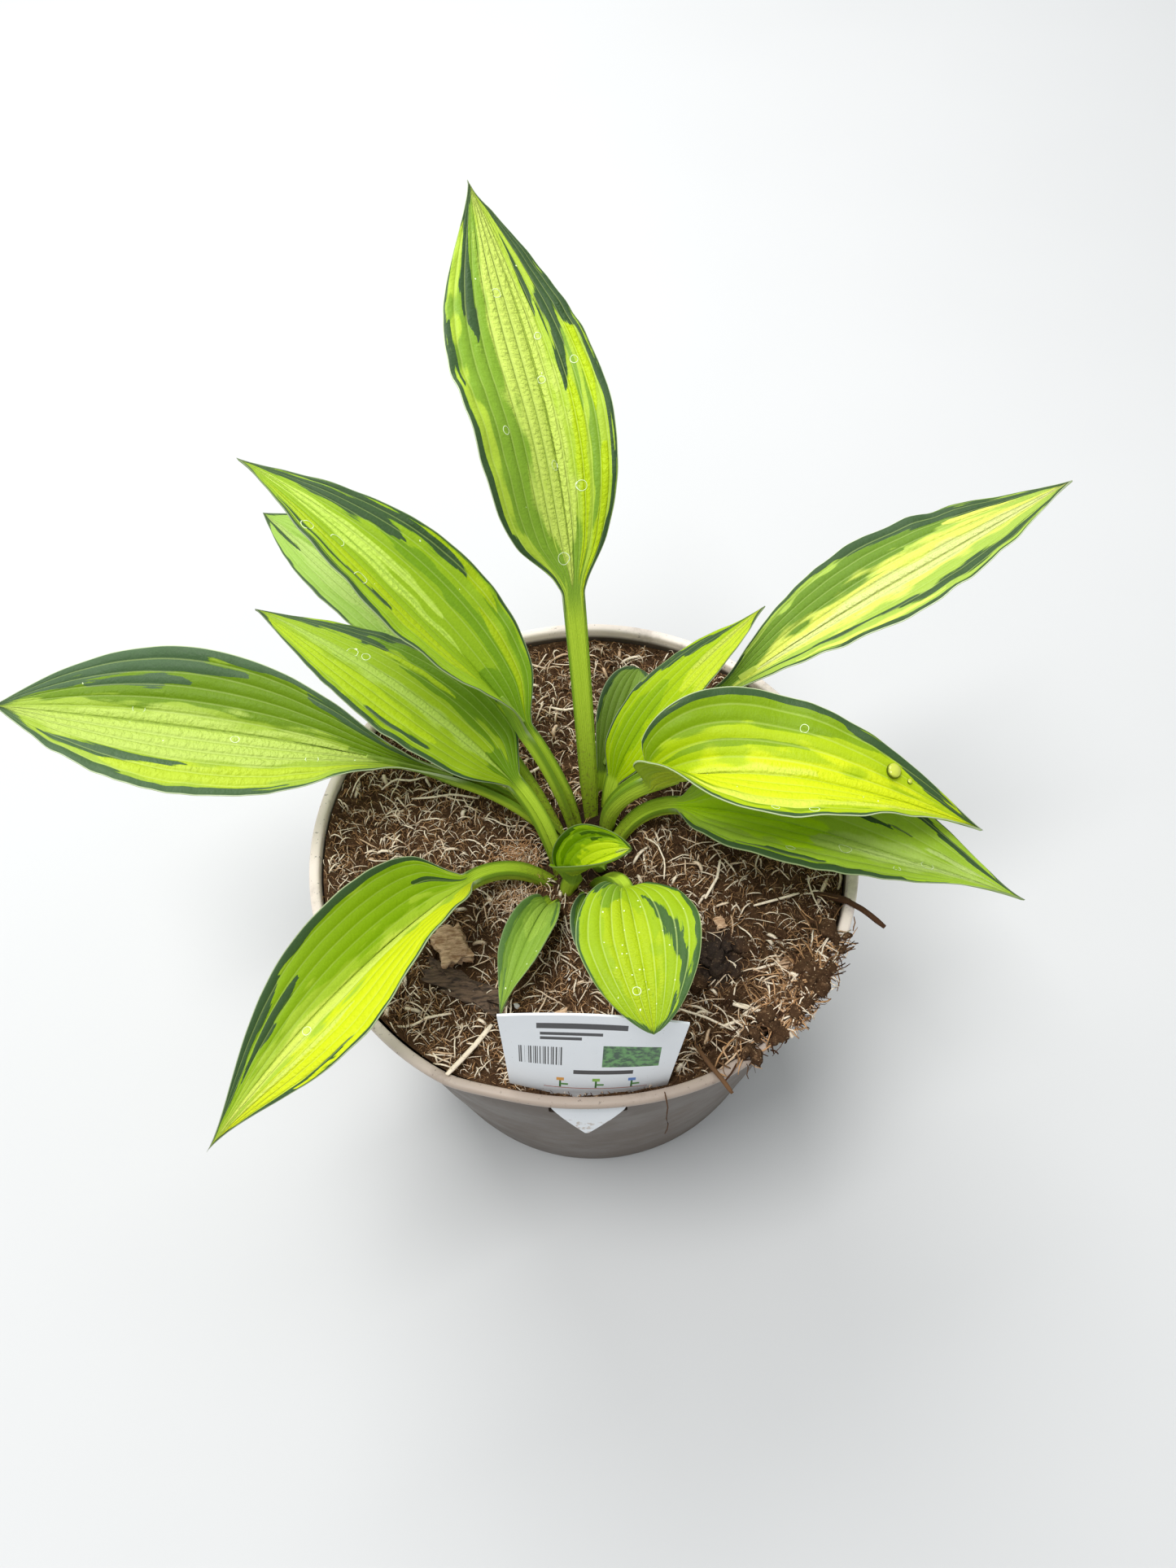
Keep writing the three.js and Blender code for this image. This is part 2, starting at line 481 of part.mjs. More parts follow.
// ---------------------------------------------------------------- label
// Rows run up the card from the tongue's point, each [height, half width]. The card is bent to the rim
// at the slot and flattens towards its top.
function labelGeometry() {
  const { faceBottom, faceTop, bottomWidth, topWidth, neckWidth, tonguePoint, bendRadius, thickness } = LABEL;
  const faceWidth = (h) => mix(bottomWidth, topWidth, (h - faceBottom) / (faceTop - faceBottom)) / 2;
  const rows = [[tonguePoint, 1], [-10, 6], [-5, neckWidth / 2], [-1.5, neckWidth / 2], [4, neckWidth / 2]];
  rows.push([faceBottom - 0.8, neckWidth / 2]);
  for (let i = 0; i <= 4; i += 1) {
    const h = mix(faceBottom, faceTop, i / 4);
    rows.push([h, faceWidth(h)]);
  }
  const across = [-1, -0.75, -0.5, -0.25, 0, 0.25, 0.5, 0.75, 1];
  const vertices = [];
  rows.forEach(([h, half]) => {
    const rise = clamp(h / faceTop, 0, 1);
    across.forEach((u) => {
      const x = u * half;
      const inward = interpolate(h, LABEL.pathHeights, LABEL.pathInward);
      const bend = inward + ((x * x) / (2 * bendRadius)) * (1 - rise) - LABEL.twist * rise * x;
      const z = h + LABEL.topArch * rise * (1 - u * u);
      const back = new THREE.Vector3(x, bend + thickness / 2, z);
      vertices.push(new THREE.Vector3(x, bend - thickness / 2, z), back);
    });
  });
  const triangles = [];
  const count = across.length;
  const front = (row, column) => 2 * (row * count + column);
  const quad = (a, b, c, d) => triangles.push([a, b, c], [a, c, d]);
  for (let row = 0; row < rows.length - 1; row += 1) {
    for (let column = 0; column < count - 1; column += 1) {
      const [a, b] = [front(row, column), front(row, column + 1)];
      const [c, d] = [front(row + 1, column + 1), front(row + 1, column)];
      quad(a, b, c, d);
      triangles.push([a + 1, c + 1, b + 1], [a + 1, d + 1, c + 1]);
    }
    quad(front(row, 0), front(row + 1, 0), front(row + 1, 0) + 1, front(row, 0) + 1);
    quad(front(row + 1, count - 1), front(row, count - 1), front(row, count - 1) + 1, front(row + 1, count - 1) + 1);
  }
  const topRow = rows.length - 1;
  for (let column = 0; column < count - 1; column += 1) {
    quad(front(0, column + 1), front(0, column), front(0, column) + 1, front(0, column + 1) + 1);
    quad(front(topRow, column), front(topRow, column + 1), front(topRow, column + 1) + 1, front(topRow, column) + 1);
  }
  const geometry = geometryFrom(vertices, triangles);
  geometry.rotateY(radians(-LABEL.tilt));
  geometry.rotateZ(radians(LABEL.turn));
  geometry.translate(LABEL.x, LABEL.y, LABEL.slotHeight);
  return geometry;
}

// ---------------------------------------------------------------- assembly
addPiece('pot', potGeometry(), COLOURS.pot);
addPiece('soil', soilGeometry(), COLOURS.soil);
addPiece('crown', crownGeometry(), COLOURS.crown);
LEAVES.forEach((leaf) => addPiece(leaf.name, leafGeometry(leaf), leaf.small ? COLOURS.young : COLOURS.leaf));
addPiece('shoot_tip', shootGeometry(), COLOURS.shoot);
addPiece('label', labelGeometry(), COLOURS.label);

export default model;
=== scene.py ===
import math

import bpy
import numpy as np
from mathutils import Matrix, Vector, noise


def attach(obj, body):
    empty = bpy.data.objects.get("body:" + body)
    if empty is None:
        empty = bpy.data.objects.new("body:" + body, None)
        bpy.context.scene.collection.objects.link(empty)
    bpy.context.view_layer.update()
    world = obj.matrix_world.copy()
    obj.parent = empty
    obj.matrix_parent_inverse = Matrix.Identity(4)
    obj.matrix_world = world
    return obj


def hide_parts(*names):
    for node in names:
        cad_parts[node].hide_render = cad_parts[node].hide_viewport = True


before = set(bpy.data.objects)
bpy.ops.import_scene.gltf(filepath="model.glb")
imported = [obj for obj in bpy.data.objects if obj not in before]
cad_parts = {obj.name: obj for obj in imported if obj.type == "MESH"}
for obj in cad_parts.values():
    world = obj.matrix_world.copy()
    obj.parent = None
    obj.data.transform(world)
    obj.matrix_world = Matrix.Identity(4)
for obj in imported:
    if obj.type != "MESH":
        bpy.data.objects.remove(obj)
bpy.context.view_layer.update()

# ---- Table, daylight and camera -------------------------------------------------------------
# The plant stands on a plain pale table under a bright overcast sky. The main light comes from
# behind and above, so the near wall of the pot is in shade and the leaves glow.


def connect(source, socket):
    """Plugs a socket into a socket, or writes a plain value on it; colours come without alpha."""
    if isinstance(source, bpy.types.NodeSocket):
        socket.id_data.links.new(source, socket)
    elif isinstance(source, tuple) and socket.type == "RGBA":
        socket.default_value = (*source, 1)
    elif source is not None:
        socket.default_value = source


def added(kind, *sources, **settings):
    """Adds a node to its sources' own tree, feeds its sockets in order, and gives its outputs."""
    tree = next(s for s in sources if isinstance(s, bpy.types.NodeSocket)).id_data
    made = tree.nodes.new("ShaderNode" + kind)
    for name, value in settings.items():
        setattr(made, name, value)
    for source, socket in zip(sources, made.inputs):
        connect(source, socket)
    return made.outputs


def calc(operation, first, second=None):
    return added("Math", first, second, operation=operation)[0]


def plus(first, second):
    return calc("ADD", first, second)


def minus(first, second):
    return calc("SUBTRACT", first, second)


def times(first, second):
    return calc("MULTIPLY", first, second)


def fade(value, start, end, low=0.0, high=1.0):
    """Rises softly from low to high while the value goes from start to end."""
    return added("MapRange", value, start, end, low, high, interpolation_type="SMOOTHSTEP")[0]


def tint(share, first, second, blend="MIX"):
    """Lays the second colour over the first by a share from 0 to 1."""
    other_kinds = [None] * 5
    return added("Mix", share, *other_kinds, first, second, data_type="RGBA", blend_type=blend)[2]


def grain(vector, scale, detail=2.0, rough=0.5):
    return added("TexNoise", vector, None, scale, detail, rough)["Fac"]


def painted_on(tree, name, output="Fac"):
    """Reads an attribute of the mesh."""
    made = tree.nodes.new("ShaderNodeAttribute")
    made.attribute_name = name
    return made.outputs[output]


def object_place(tree):
    return tree.nodes.new("ShaderNodeTexCoord").outputs["Object"]


def finish_of(name, roughness=0.5, **fixed):
    """A material with its place on the object and its shader; fixed values sit on the shader."""
    material = bpy.data.materials.new(name)
    material.use_nodes = True
    shader = next(n for n in material.node_tree.nodes if n.type == "BSDF_PRINCIPLED")
    shader.inputs["Roughness"].default_value = roughness
    for socket, value in fixed.items():
        shader.inputs[socket.replace("_", " ")].default_value = value
    return material, object_place(material.node_tree), shader


def raise_surface(shader, height, distance, strength=1.0):
    bump = shader.id_data.nodes.new("ShaderNodeBump")
    bump.inputs["Strength"].default_value = strength
    bump.inputs["Distance"].default_value = distance
    connect(height, bump.inputs["Height"])
    connect(bump.outputs["Normal"], shader.inputs["Normal"])


def coat(material, shader, colour, *pieces):
    """Gives a material its colour and lays it on pieces."""
    connect(colour, shader.inputs["Base Color"])
    for piece in pieces:
        piece.data.materials.append(material)


def just_made(name):
    piece = bpy.context.object
    piece.name = name
    return piece


bpy.ops.mesh.primitive_plane_add(size=8, location=(0, 0, -0.0002))
table = just_made("table_top")
matte, place, shader = finish_of("matte_table", 0.85)
coat(matte, shader, tint(grain(place, 3.0, 3.0), (0.64, 0.64, 0.635), (0.70, 0.70, 0.695)), table)

sky = bpy.data.worlds.new("overcast")
sky.use_nodes = True
connect((0.93, 0.97, 1.0), sky.node_tree.nodes["Background"].inputs["Color"])
connect(0.60, sky.node_tree.nodes["Background"].inputs["Strength"])
bpy.context.scene.world = sky
for name, place, power, size in [
    ("sky_behind", (-0.3, 1.0, 1.15), 13, 0.9),
    ("sky_above", (-0.25, -0.1, 1.45), 11, 0.5),
]:
    aim = Vector((0, 0, 0.15)) - Vector(place)
    bpy.ops.object.light_add(type="AREA", location=place, rotation=aim.to_track_quat("-Z", "Y").to_euler())
    lamp = just_made(name)
    lamp.data.energy, lamp.data.size = power, size

tilt = [math.radians(angle) for angle in (30.3179, 1.9389, -4.3189)]
bpy.ops.object.camera_add(location=(0, -0.189954, 0.50727), rotation=tilt)
camera = just_made("camera")
camera.data.lens, camera.data.sensor_width, camera.data.clip_start = 27.042, 36, 0.01
bpy.context.scene.camera = camera
bpy.context.scene.view_settings.view_transform = "Standard"

# ---- Pot ------------------------------------------------------------------------------------
# A thin three-litre nursery pot, vacuum-formed from taupe plastic. It has a rolled flat rim, a
# raised ring under the base, drain holes, and a slot near the rim for the label. Sizes in mm.
POT_PROFILE = [
    (0, 0.2), (40, 0.1), (49.6, 0), (50.2, 0.5), (51, 2.1), (65, 2.1), (65.8, 0.5), (66.4, 0), (74.2, 0),
    (75.1, 0.25), (75.5, 1), (75.9, 3.6), (76.0, 4.2), (76.6, 8.5), (82.1, 55), (82.5, 56), (82.9, 60),
    (89.9, 120), (90.3, 121), (91.9, 138.5), (92.3, 141.9), (92.6, 143.1), (93.3, 143.5), (93.75, 143.3),
    (93.9, 142.6), (94.3, 142.4), (94.75, 142.5), (94.95, 142.9), (95, 143.6), (94.9, 144.3),
    (94.5, 144.8), (93.9, 145), (92.5, 144.95), (91.9, 144.8), (91.5, 144.4), (91.3, 143.6), (90.9, 139),
    (88.9, 122), (82.0, 64), (74.6, 3.6), (74.1, 2.2), (73.2, 1.6), (65.8, 1.6), (65, 3.6), (51, 3.6),
    (50.2, 1.6), (0, 1.7),
]
DRAIN = dict(count=8, first=22.5, ring=58, radius=5)
PUSHED = dict(depth=2.5, start=122, rise=21, wall=92, middle=-97, left=25, right=36)


def pick(piece):
    """Makes the piece the active object and the only one selected."""
    bpy.ops.object.select_all(action="DESELECT")
    piece.select_set(True)
    bpy.context.view_layer.objects.active = piece


def on_whole_mesh(*steps):
    """Runs mesh operators, each with everything in the active mesh selected."""
    bpy.ops.object.mode_set(mode="EDIT")
    for operator, settings in steps:
        bpy.ops.mesh.select_all(action="SELECT")
        operator(**settings)
    bpy.ops.object.mode_set(mode="OBJECT")


def cut_away(piece, cutter):
    """Takes the cutter's shape out of the piece."""
    pick(piece)
    cut = piece.modifiers.new("cut", "BOOLEAN")
    cut.operation, cut.object, cut.solver = "DIFFERENCE", cutter, "EXACT"
    bpy.ops.object.modifier_apply(modifier=cut.name)
    bpy.data.objects.remove(cutter, do_unlink=True)


def settle(piece, angle):
    """Leaves the object at the origin with its place in its mesh, smooth where it's round."""
    pick(piece)
    bpy.ops.object.transform_apply()
    bpy.ops.object.shade_smooth_by_angle(angle=math.radians(angle))


def spun(x, y, angle):
    """Turns a point round the middle."""
    return x * math.cos(angle) - y * math.sin(angle), x * math.sin(angle) + y * math.cos(angle)


def pushed_in(x, y, z):
    """The thin wall gives way at the front, where the label is."""
    angle = math.degrees(math.atan2(y, x))
    away = (angle - PUSHED["middle"]) / PUSHED["left" if angle < PUSHED["middle"] else "right"]
    if abs(away) >= 1 or z < PUSHED["start"]:
        return x, y
    flat = (1 - abs(away) ** (4 if away < 0 else 2)) ** 2
    reach = math.hypot(x, y)
    rise = min(1, (z - PUSHED["start"]) / PUSHED["rise"]) ** 1.5
    depth = PUSHED["depth"] * flat * rise * min(1, reach / PUSHED["wall"]) ** 8
    return x * (1 - depth / reach), y * (1 - depth / reach)


bpy.ops.mesh.primitive_plane_add(size=0.001)
pot = just_made("nursery_pot")
bpy.ops.object.mode_set(mode="EDIT")
bpy.ops.mesh.merge(type="CENTER")
last = (0.0, 0.0)
for radius, height in POT_PROFILE:
    step = ((radius - last[0]) / 1000, 0, (height - last[1]) / 1000)
    if last == (0.0, 0.0):
        bpy.ops.transform.translate(value=step)
    else:
        bpy.ops.mesh.extrude_region_move(TRANSFORM_OT_translate={"value": step})
    last = (radius, height)
on_whole_mesh(
    (bpy.ops.mesh.spin, dict(steps=160, angle=2 * math.pi, center=(0, 0, 0), axis=(0, 0, 1))),
    (bpy.ops.mesh.remove_doubles, dict(threshold=0.00002)),
    (bpy.ops.mesh.normals_make_consistent, {}))
bpy.ops.mesh.primitive_cube_add(size=1, location=(-0.0052, -0.091, 0.1337), scale=(0.0252, 0.012, 0.0070))
slot_cutter = bpy.context.object
bpy.ops.object.transform_apply()
soften = slot_cutter.modifiers.new("soften", "BEVEL")
soften.width, soften.segments = 0.0008, 3
bpy.ops.object.modifier_apply(modifier=soften.name)
cut_away(pot, slot_cutter)
for index in range(DRAIN["count"]):
    angle = math.radians(DRAIN["first"] + 360 / DRAIN["count"] * index)
    place = (*spun(DRAIN["ring"] / 1000, 0, angle), 0.002)
    bpy.ops.mesh.primitive_cylinder_add(vertices=32, radius=DRAIN["radius"] / 1000, depth=0.014,
                                        location=place)
    cut_away(pot, bpy.context.object)
for vertex in pot.data.vertices:
    x, y = pushed_in(vertex.co.x * 1000, vertex.co.y * 1000, vertex.co.z * 1000)
    vertex.co.x, vertex.co.y = x / 1000, y / 1000
settle(pot, 40)

taupe, place, shader = finish_of("recycled_taupe_plastic", 0.42, Specular_IOR_Level=0.35)
_, towards_back, height = added("SeparateXYZ", place)
clouds = grain(place, 38, 4, 0.6)
# Painted light: the pot is one taupe plastic, and its rim gets a far lighter, lit colour.
rim_painted_light = tint(clouds, (0.87, 0.75, 0.66), (0.94, 0.84, 0.76))
# Painted shade: the near part of the rim is darker, where its lip faces away from the main light.
rim_painted_light = tint(fade(towards_back, -0.05, -0.088, 0.0, 0.9), rim_painted_light, (0.36, 0.28, 0.22))
# Painted shade: the wall gets a darker, shaded colour of the same plastic.
wall_painted_shade = tint(clouds, (0.074, 0.053, 0.038), (0.112, 0.084, 0.063))
colour = tint(fade(height, 0.1405, 0.1428), wall_painted_shade, rim_painted_light)
scuffs = fade(grain(place, 150, 5, 0.75), 0.6, 0.78)
colour = tint(times(scuffs, 0.35), colour, (0.36, 0.31, 0.26))
soil_specks = fade(grain(place, 650, 3, 0.7), 0.63, 0.69)
low_dirt = fade(height, 0.02, 0.0, 0.0, 0.5)
rim_dirt = fade(height, 0.138, 0.1445, 0.15, 0.55)
colour = tint(times(plus(low_dirt, rim_dirt), soil_specks), colour, (0.05, 0.032, 0.02))
grime = fade(grain(place, 60, 6, 0.7), 0.52, 0.72, 0.0, 0.35)
colour = tint(grime, colour, (0.14, 0.10, 0.07))
connect(fade(clouds, 0.3, 0.7, 0.38, 0.55), shader.inputs["Roughness"])
raise_surface(shader, grain(place, 420, 3, 0.6), 0.0001, 0.5)
coat(taupe, shader, colour, pot)
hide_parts("pot")
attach(pot, "root")

# ---- Potting soil ---------------------------------------------------------------------------
# Coarse peat and coir, filled to just under the rim and heaped over it at the near right. A dark
# crumbly body carries curly fibres, straws, clods, bark and a few grains of perlite. Sizes in mm.
rng = np.random.default_rng(11)
SOIL_LEVEL, SOIL_REACH = 138.4, 90.35
HEAP = dict(x=58.5, y=-60.5, height=7.5, spread=15.0)
HOLLOW = dict(depth=5.8, spread=21)
SPILL_ANGLE, RIM_TOP = -44, 145
COUNTS = dict(coir=7000, fine=7200, straw=1500, spill=640, tuft=420, clods=95, rim_clods=55, dark_patch_clods=12)
BARE_SPOTS = [(1, 3, 16), (42, -44, 10), (-45, -40, 11)]


def soil_height(x, y):
    """Height of the soil, without its crumbs."""
    ripple = 0.5 * math.sin(0.11 * x + 0.6) + 0.4 * math.sin(0.13 * y - 0.05 * x)
    heap = HEAP["height"] * math.exp(-((x - HEAP["x"]) ** 2 + (y - HEAP["y"]) ** 2) / HEAP["spread"] ** 2)
    hollow = HOLLOW["depth"] * math.exp(-(x * x + (y - 1) ** 2) / HOLLOW["spread"] ** 2)
    banked = min(max((math.hypot(x, y) - 72) / 17, 0), 1) ** 1.5 * (1.4 + 2.8 * min(max(-x / 75, 0), 1))
    return SOIL_LEVEL + ripple + heap - hollow + banked


def crumbs(x, y):
    """Relief of the crumbs and clods."""
    big = noise.noise(Vector((x / 9, y / 9, 3.1)))
    middle = noise.noise(Vector((x / 4.1, y / 4.1, 7.7)))
    small = noise.noise(Vector((x / 1.9, y / 1.9, 1.3)))
    holes = min(0.0, noise.noise(Vector((x / 6, y / 6, 12.0))) + 0.28)
    return 1.1 * big + 1.0 * middle + 0.55 * small + 3.4 * holes


bpy.ops.mesh.primitive_grid_add(x_subdivisions=210, y_subdivisions=210, size=2)
soil = just_made("potting_soil")
for vertex in soil.data.vertices:
    a, b = vertex.co.x, vertex.co.y
    square = max(abs(a), abs(b))
    reach = math.hypot(a, b)
    scale = 0 if reach == 0 else square / reach
    x, y = a * scale * SOIL_REACH, b * scale * SOIL_REACH
    calm = min(1.0, (1 - square) / 0.03)
    height = soil_height(x, y) + crumbs(x, y) * (0.35 + 0.65 * calm)
    x, y = pushed_in(x, y, height)
    vertex.co = (x / 1000, y / 1000, height / 1000)
bpy.ops.object.mode_set(mode="EDIT")
bpy.ops.mesh.select_all(action="SELECT")
bpy.ops.mesh.region_to_loop()
for level, radius in [(118, 88.0), (60, 81.0), (4.2, 74.0)]:
    bpy.ops.mesh.extrude_region_move()
    bpy.ops.object.mode_set(mode="OBJECT")
    for vertex in soil.data.vertices:
        if vertex.select:
            x, y, _ = vertex.co
            away = math.hypot(x, y)
            vertex.co = (x / away * radius / 1000, y / away * radius / 1000, level / 1000)
    bpy.ops.object.mode_set(mode="EDIT")
bpy.ops.mesh.edge_face_add()
on_whole_mesh((bpy.ops.mesh.normals_make_consistent, {}))
settle(soil, 80)

peat, place, shader = finish_of("peat_and_coir", 0.95, Specular_IOR_Level=0.1)
colour = tint(grain(place, 160, 4, 0.7), (0.014, 0.007, 0.0035), (0.135, 0.07, 0.034))
dust = fade(grain(place, 520, 3, 0.7), 0.52, 0.7)
colour = tint(times(dust, 0.6), colour, (0.27, 0.155, 0.08))
chaff = fade(grain(place, 1300, 2, 0.6), 0.64, 0.72)
colour = tint(times(chaff, 0.75), colour, (0.66, 0.47, 0.27))
# A dark patch at the near right, and painted shade on the peat under the leaves.
for middle, size, wander, outer, inner, strength, dark in [
    ((0.041, -0.045, 0.138), 120, 0.012, 0.02, 0.011, 0.7, (0.035, 0.03, 0.028)),
    ((0.001, 0.003, 0.138), 160, 0.008, 0.026, 0.016, 0.85, (0.022, 0.012, 0.008)),
]:
    away = added("VectorMath", place, middle, operation="DISTANCE")["Value"]
    inside = fade(plus(away, times(grain(place, size), wander)), outer, inner)
    colour = tint(times(inside, strength), colour, dark)
raise_surface(shader, plus(grain(place, 700, 4, 0.7), times(grain(place, 1900, 2), 0.4)), 0.0012, 0.9)
coat(peat, shader, colour, soil)
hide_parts("soil")
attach(soil, "root")


def write_on(mesh, name, values, kind="FLOAT"):
    """Writes a number, or a vector, on every point of a mesh."""
    field = "value" if kind == "FLOAT" else "vector"
    mesh.attributes.new(name, kind, "POINT").data.foreach_set(field, np.asarray(values, np.float32).ravel())


def strand_template(sides, parts):
    """One straight strand of unit length and radius, to be bent along each fibre's own path."""
    bpy.ops.mesh.primitive_circle_add(vertices=sides, radius=1, fill_type="NGON")
    strand = bpy.context.object
    bpy.ops.object.mode_set(mode="EDIT")
    bpy.ops.mesh.select_all(action="SELECT")
    for _ in range(parts):
        bpy.ops.mesh.extrude_region_move(TRANSFORM_OT_translate={"value": (0, 0, 1 / parts)})
    on_whole_mesh((bpy.ops.mesh.normals_make_consistent, {}))
    points = np.array([v.co[:] for v in strand.data.vertices])
    faces = [tuple(p.vertices) for p in strand.data.polygons]
    bpy.data.objects.remove(strand, do_unlink=True)
    return points, faces


def laid_strands(name, template, fibres):
    """Bends a copy of the strand along every fibre: (path, half width, half height, tint)."""
    points, faces = template
    everything, all_faces, tints = [], [], []
    for path, wide, high, shade in fibres:
        path = np.asarray(path, float)
        last = len(path) - 1
        along = points[:, 2] * last
        low = np.clip(np.floor(along).astype(int), 0, last - 1)
        rest = (along - low)[:, None]
        centre = path[low] * (1 - rest) + path[low + 1] * rest
        nearest = np.rint(along).astype(int)
        ahead = path[np.clip(nearest + 1, 0, last)] - path[np.clip(nearest - 1, 0, last)]
        ahead /= np.linalg.norm(ahead, axis=1)[:, None]
        across = np.cross(ahead, (0, 0, 1.0))
        across /= np.maximum(np.linalg.norm(across, axis=1), 1e-6)[:, None]
        over = np.cross(ahead, across)
        thin = np.clip(1.2 - 0.5 * np.abs(2 * points[:, 2] - 1) ** 3, 0.3, 1)[:, None]
        body = centre + across * points[:, :1] * wide * thin + over * points[:, 1:2] * high * thin
        offset = len(everything) * len(points)
        everything.append(np.array([(*pushed_in(*spot), spot[2]) for spot in body]) / 1000)
        all_faces += [tuple(i + offset for i in face) for face in faces]
        tints += [shade] * len(points)
    mesh = bpy.data.meshes.new(name)
    mesh.from_pydata(np.concatenate(everything).tolist(), [], all_faces)
    write_on(mesh, "shade", tints)
    piece = bpy.data.objects.new(name, mesh)
    bpy.context.collection.objects.link(piece)
    for polygon in mesh.polygons:
        polygon.use_smooth = True
    return piece


def any_way():
    return rng.uniform(0, 2 * math.pi)


def curly_path(x, y, length, turn, curl, kink, lift, points=5, sink=0.6):
    """A fibre lying on the soil: it curls and kinks, and its middle stands a little off the ground."""
    path = []
    for _ in range(points):
        path.append((x, y))
        x += length / (points - 1) * math.cos(turn)
        y += length / (points - 1) * math.sin(turn)
        turn += curl + rng.normal(0, kink)
    ground = soil_height(sum(p[0] for p in path) / points, sum(p[1] for p in path) / points)
    slant = rng.normal(0, 0.5)
    out = []
    for i, (px, py) in enumerate(path):
        share = i / (points - 1)
        here = 0.5 * (ground + soil_height(px, py)) + 0.6 * crumbs(px, py)
        arch = (lift + sink) * math.sin(math.pi * share) ** 0.8
        out.append((px, py, here - sink + arch + slant * (share - 0.5)))
    return out


def random_place(reach=90.5):
    radius = reach * math.sqrt(rng.random())
    angle = 2 * math.pi * rng.random()
    return radius * math.cos(angle), radius * math.sin(angle)


def spilled_place(spread, nearest, furthest):
    """A place on the rim where the soil spilled over it."""
    angle, radius = math.radians(rng.normal(SPILL_ANGLE, spread)), rng.uniform(nearest, furthest)
    return angle, radius, radius * math.cos(angle), radius * math.sin(angle)


def clear_of_rim(path, reach):
    return all(math.hypot(p[0], p[1]) < reach for p in path)


def lighter_left(x):
    """The near-left half of the soil carries more pale fibre than the right."""
    return 0.5 - 0.5 * math.tanh((x - 5) / 35)


def bare(x, y):
    """True at most places round the stalks' feet, on the dark patch and on bark and bare peat."""
    near = any(math.hypot(x - spot_x, y - spot_y) < reach for spot_x, spot_y, reach in BARE_SPOTS)
    patchy = noise.noise(Vector((x / 9, y / 9, 4.4))) + 0.25 * lighter_left(x) < -0.12
    return rng.random() < (0.85 if near else 0.62 if patchy else 0.0)


curly = []
while len(curly) < COUNTS["coir"]:
    x, y = random_place()
    length = rng.gamma(3.0, 1.3) + 1.2
    if bare(x, y):
        continue
    path = curly_path(x, y, length, any_way(), rng.normal(0, 0.16), 0.3, rng.uniform(0.0, 2.0))
    if clear_of_rim(path, 90.3):
        shade = np.clip(rng.beta(0.7, 1.4) + 0.15 * lighter_left(x), 0, 1)
        curly.append((path, rng.uniform(0.06, 0.16), rng.uniform(0.06, 0.13), shade))
coir = laid_strands("coir_fibres", strand_template(3, 4), curly)

short = []
while len(short) < COUNTS["fine"]:
    x, y = random_place(90.6)
    path = curly_path(x, y, rng.gamma(2.5, 0.9) + 0.8, any_way(), 0, 0.35, rng.uniform(0.4, 2.6))
    if clear_of_rim(path, 90.9) and not bare(x, y):
        wide, high = rng.uniform(0.06, 0.15), rng.uniform(0.05, 0.12)
        short.append((path, wide, high, np.clip(rng.beta(0.7, 1.0), 0, 1)))
chaff = laid_strands("fine_fibres", strand_template(3, 4), short)

straw_list = []
while len(straw_list) < COUNTS["straw"]:
    x, y = random_place()
    length = rng.gamma(2.2, 2.0) + 2
    wide = rng.uniform(0.13, 0.3) if rng.random() < 0.93 else rng.uniform(0.4, 0.75)
    turn, curl, lift = any_way(), rng.normal(0, 0.1), rng.uniform(0.5, 2.6)
    path = curly_path(x, y, length, turn, curl, 0.16, lift, points=6, sink=0.3)
    if clear_of_rim(path, 90.6) and length < 22 and not bare(x, y):
        straw_list.append((path, wide, min(0.3, wide * 0.7), rng.uniform(0.7, 1.0)))
straws = laid_strands("straw_shreds", strand_template(4, 5), straw_list)

# Fibres on the soil that spilled over the rim at the near right, and a fuzzy tuft of red coir.
spill = []
while len(spill) < COUNTS["spill"]:
    angle, radius, x, y = spilled_place(9, 83, 96.5)
    bank = 1.6 * math.exp(-((math.degrees(angle) - SPILL_ANGLE) / 10) ** 2)
    edge = 145.4 + bank - max(0, radius - 94.5) * 0.8
    length, turn = rng.gamma(3, 1.9) + 1.5, any_way()
    path = []
    for i in range(5):
        path.append((x, y, edge + 0.9 * math.sin(math.pi * i / 4) * rng.uniform(0.4, 1.4)))
        x, y = x + length / 4 * math.cos(turn), y + length / 4 * math.sin(turn)
        turn += rng.normal(0, 0.3)
    if clear_of_rim(path, 99.5):
        wide, high = rng.uniform(0.1, 0.36), rng.uniform(0.1, 0.26)
        spill.append((path, wide, high, np.clip(rng.beta(0.6, 1.0), 0, 1)))
for _ in range(COUNTS["tuft"]):
    red, brown = rng.uniform(0.96, 1.4), rng.uniform(0.5, 0.9)
    tuft_x, tuft_y, shade = (-25, -16, brown) if rng.random() < 0.35 else (-23, -1.5, red)
    x, y = tuft_x + rng.normal(0, 4.2), tuft_y + rng.normal(0, 2.4)
    length, turn, curl, lift = rng.uniform(3, 9), any_way(), rng.normal(0, 0.8), rng.uniform(0.8, 4.4)
    path = curly_path(x, y, length, turn, curl, 0.5, lift)
    spill.append((path, rng.uniform(0.07, 0.16), rng.uniform(0.06, 0.13), shade))
loose = laid_strands("spilled_fibres", strand_template(3, 4), spill)

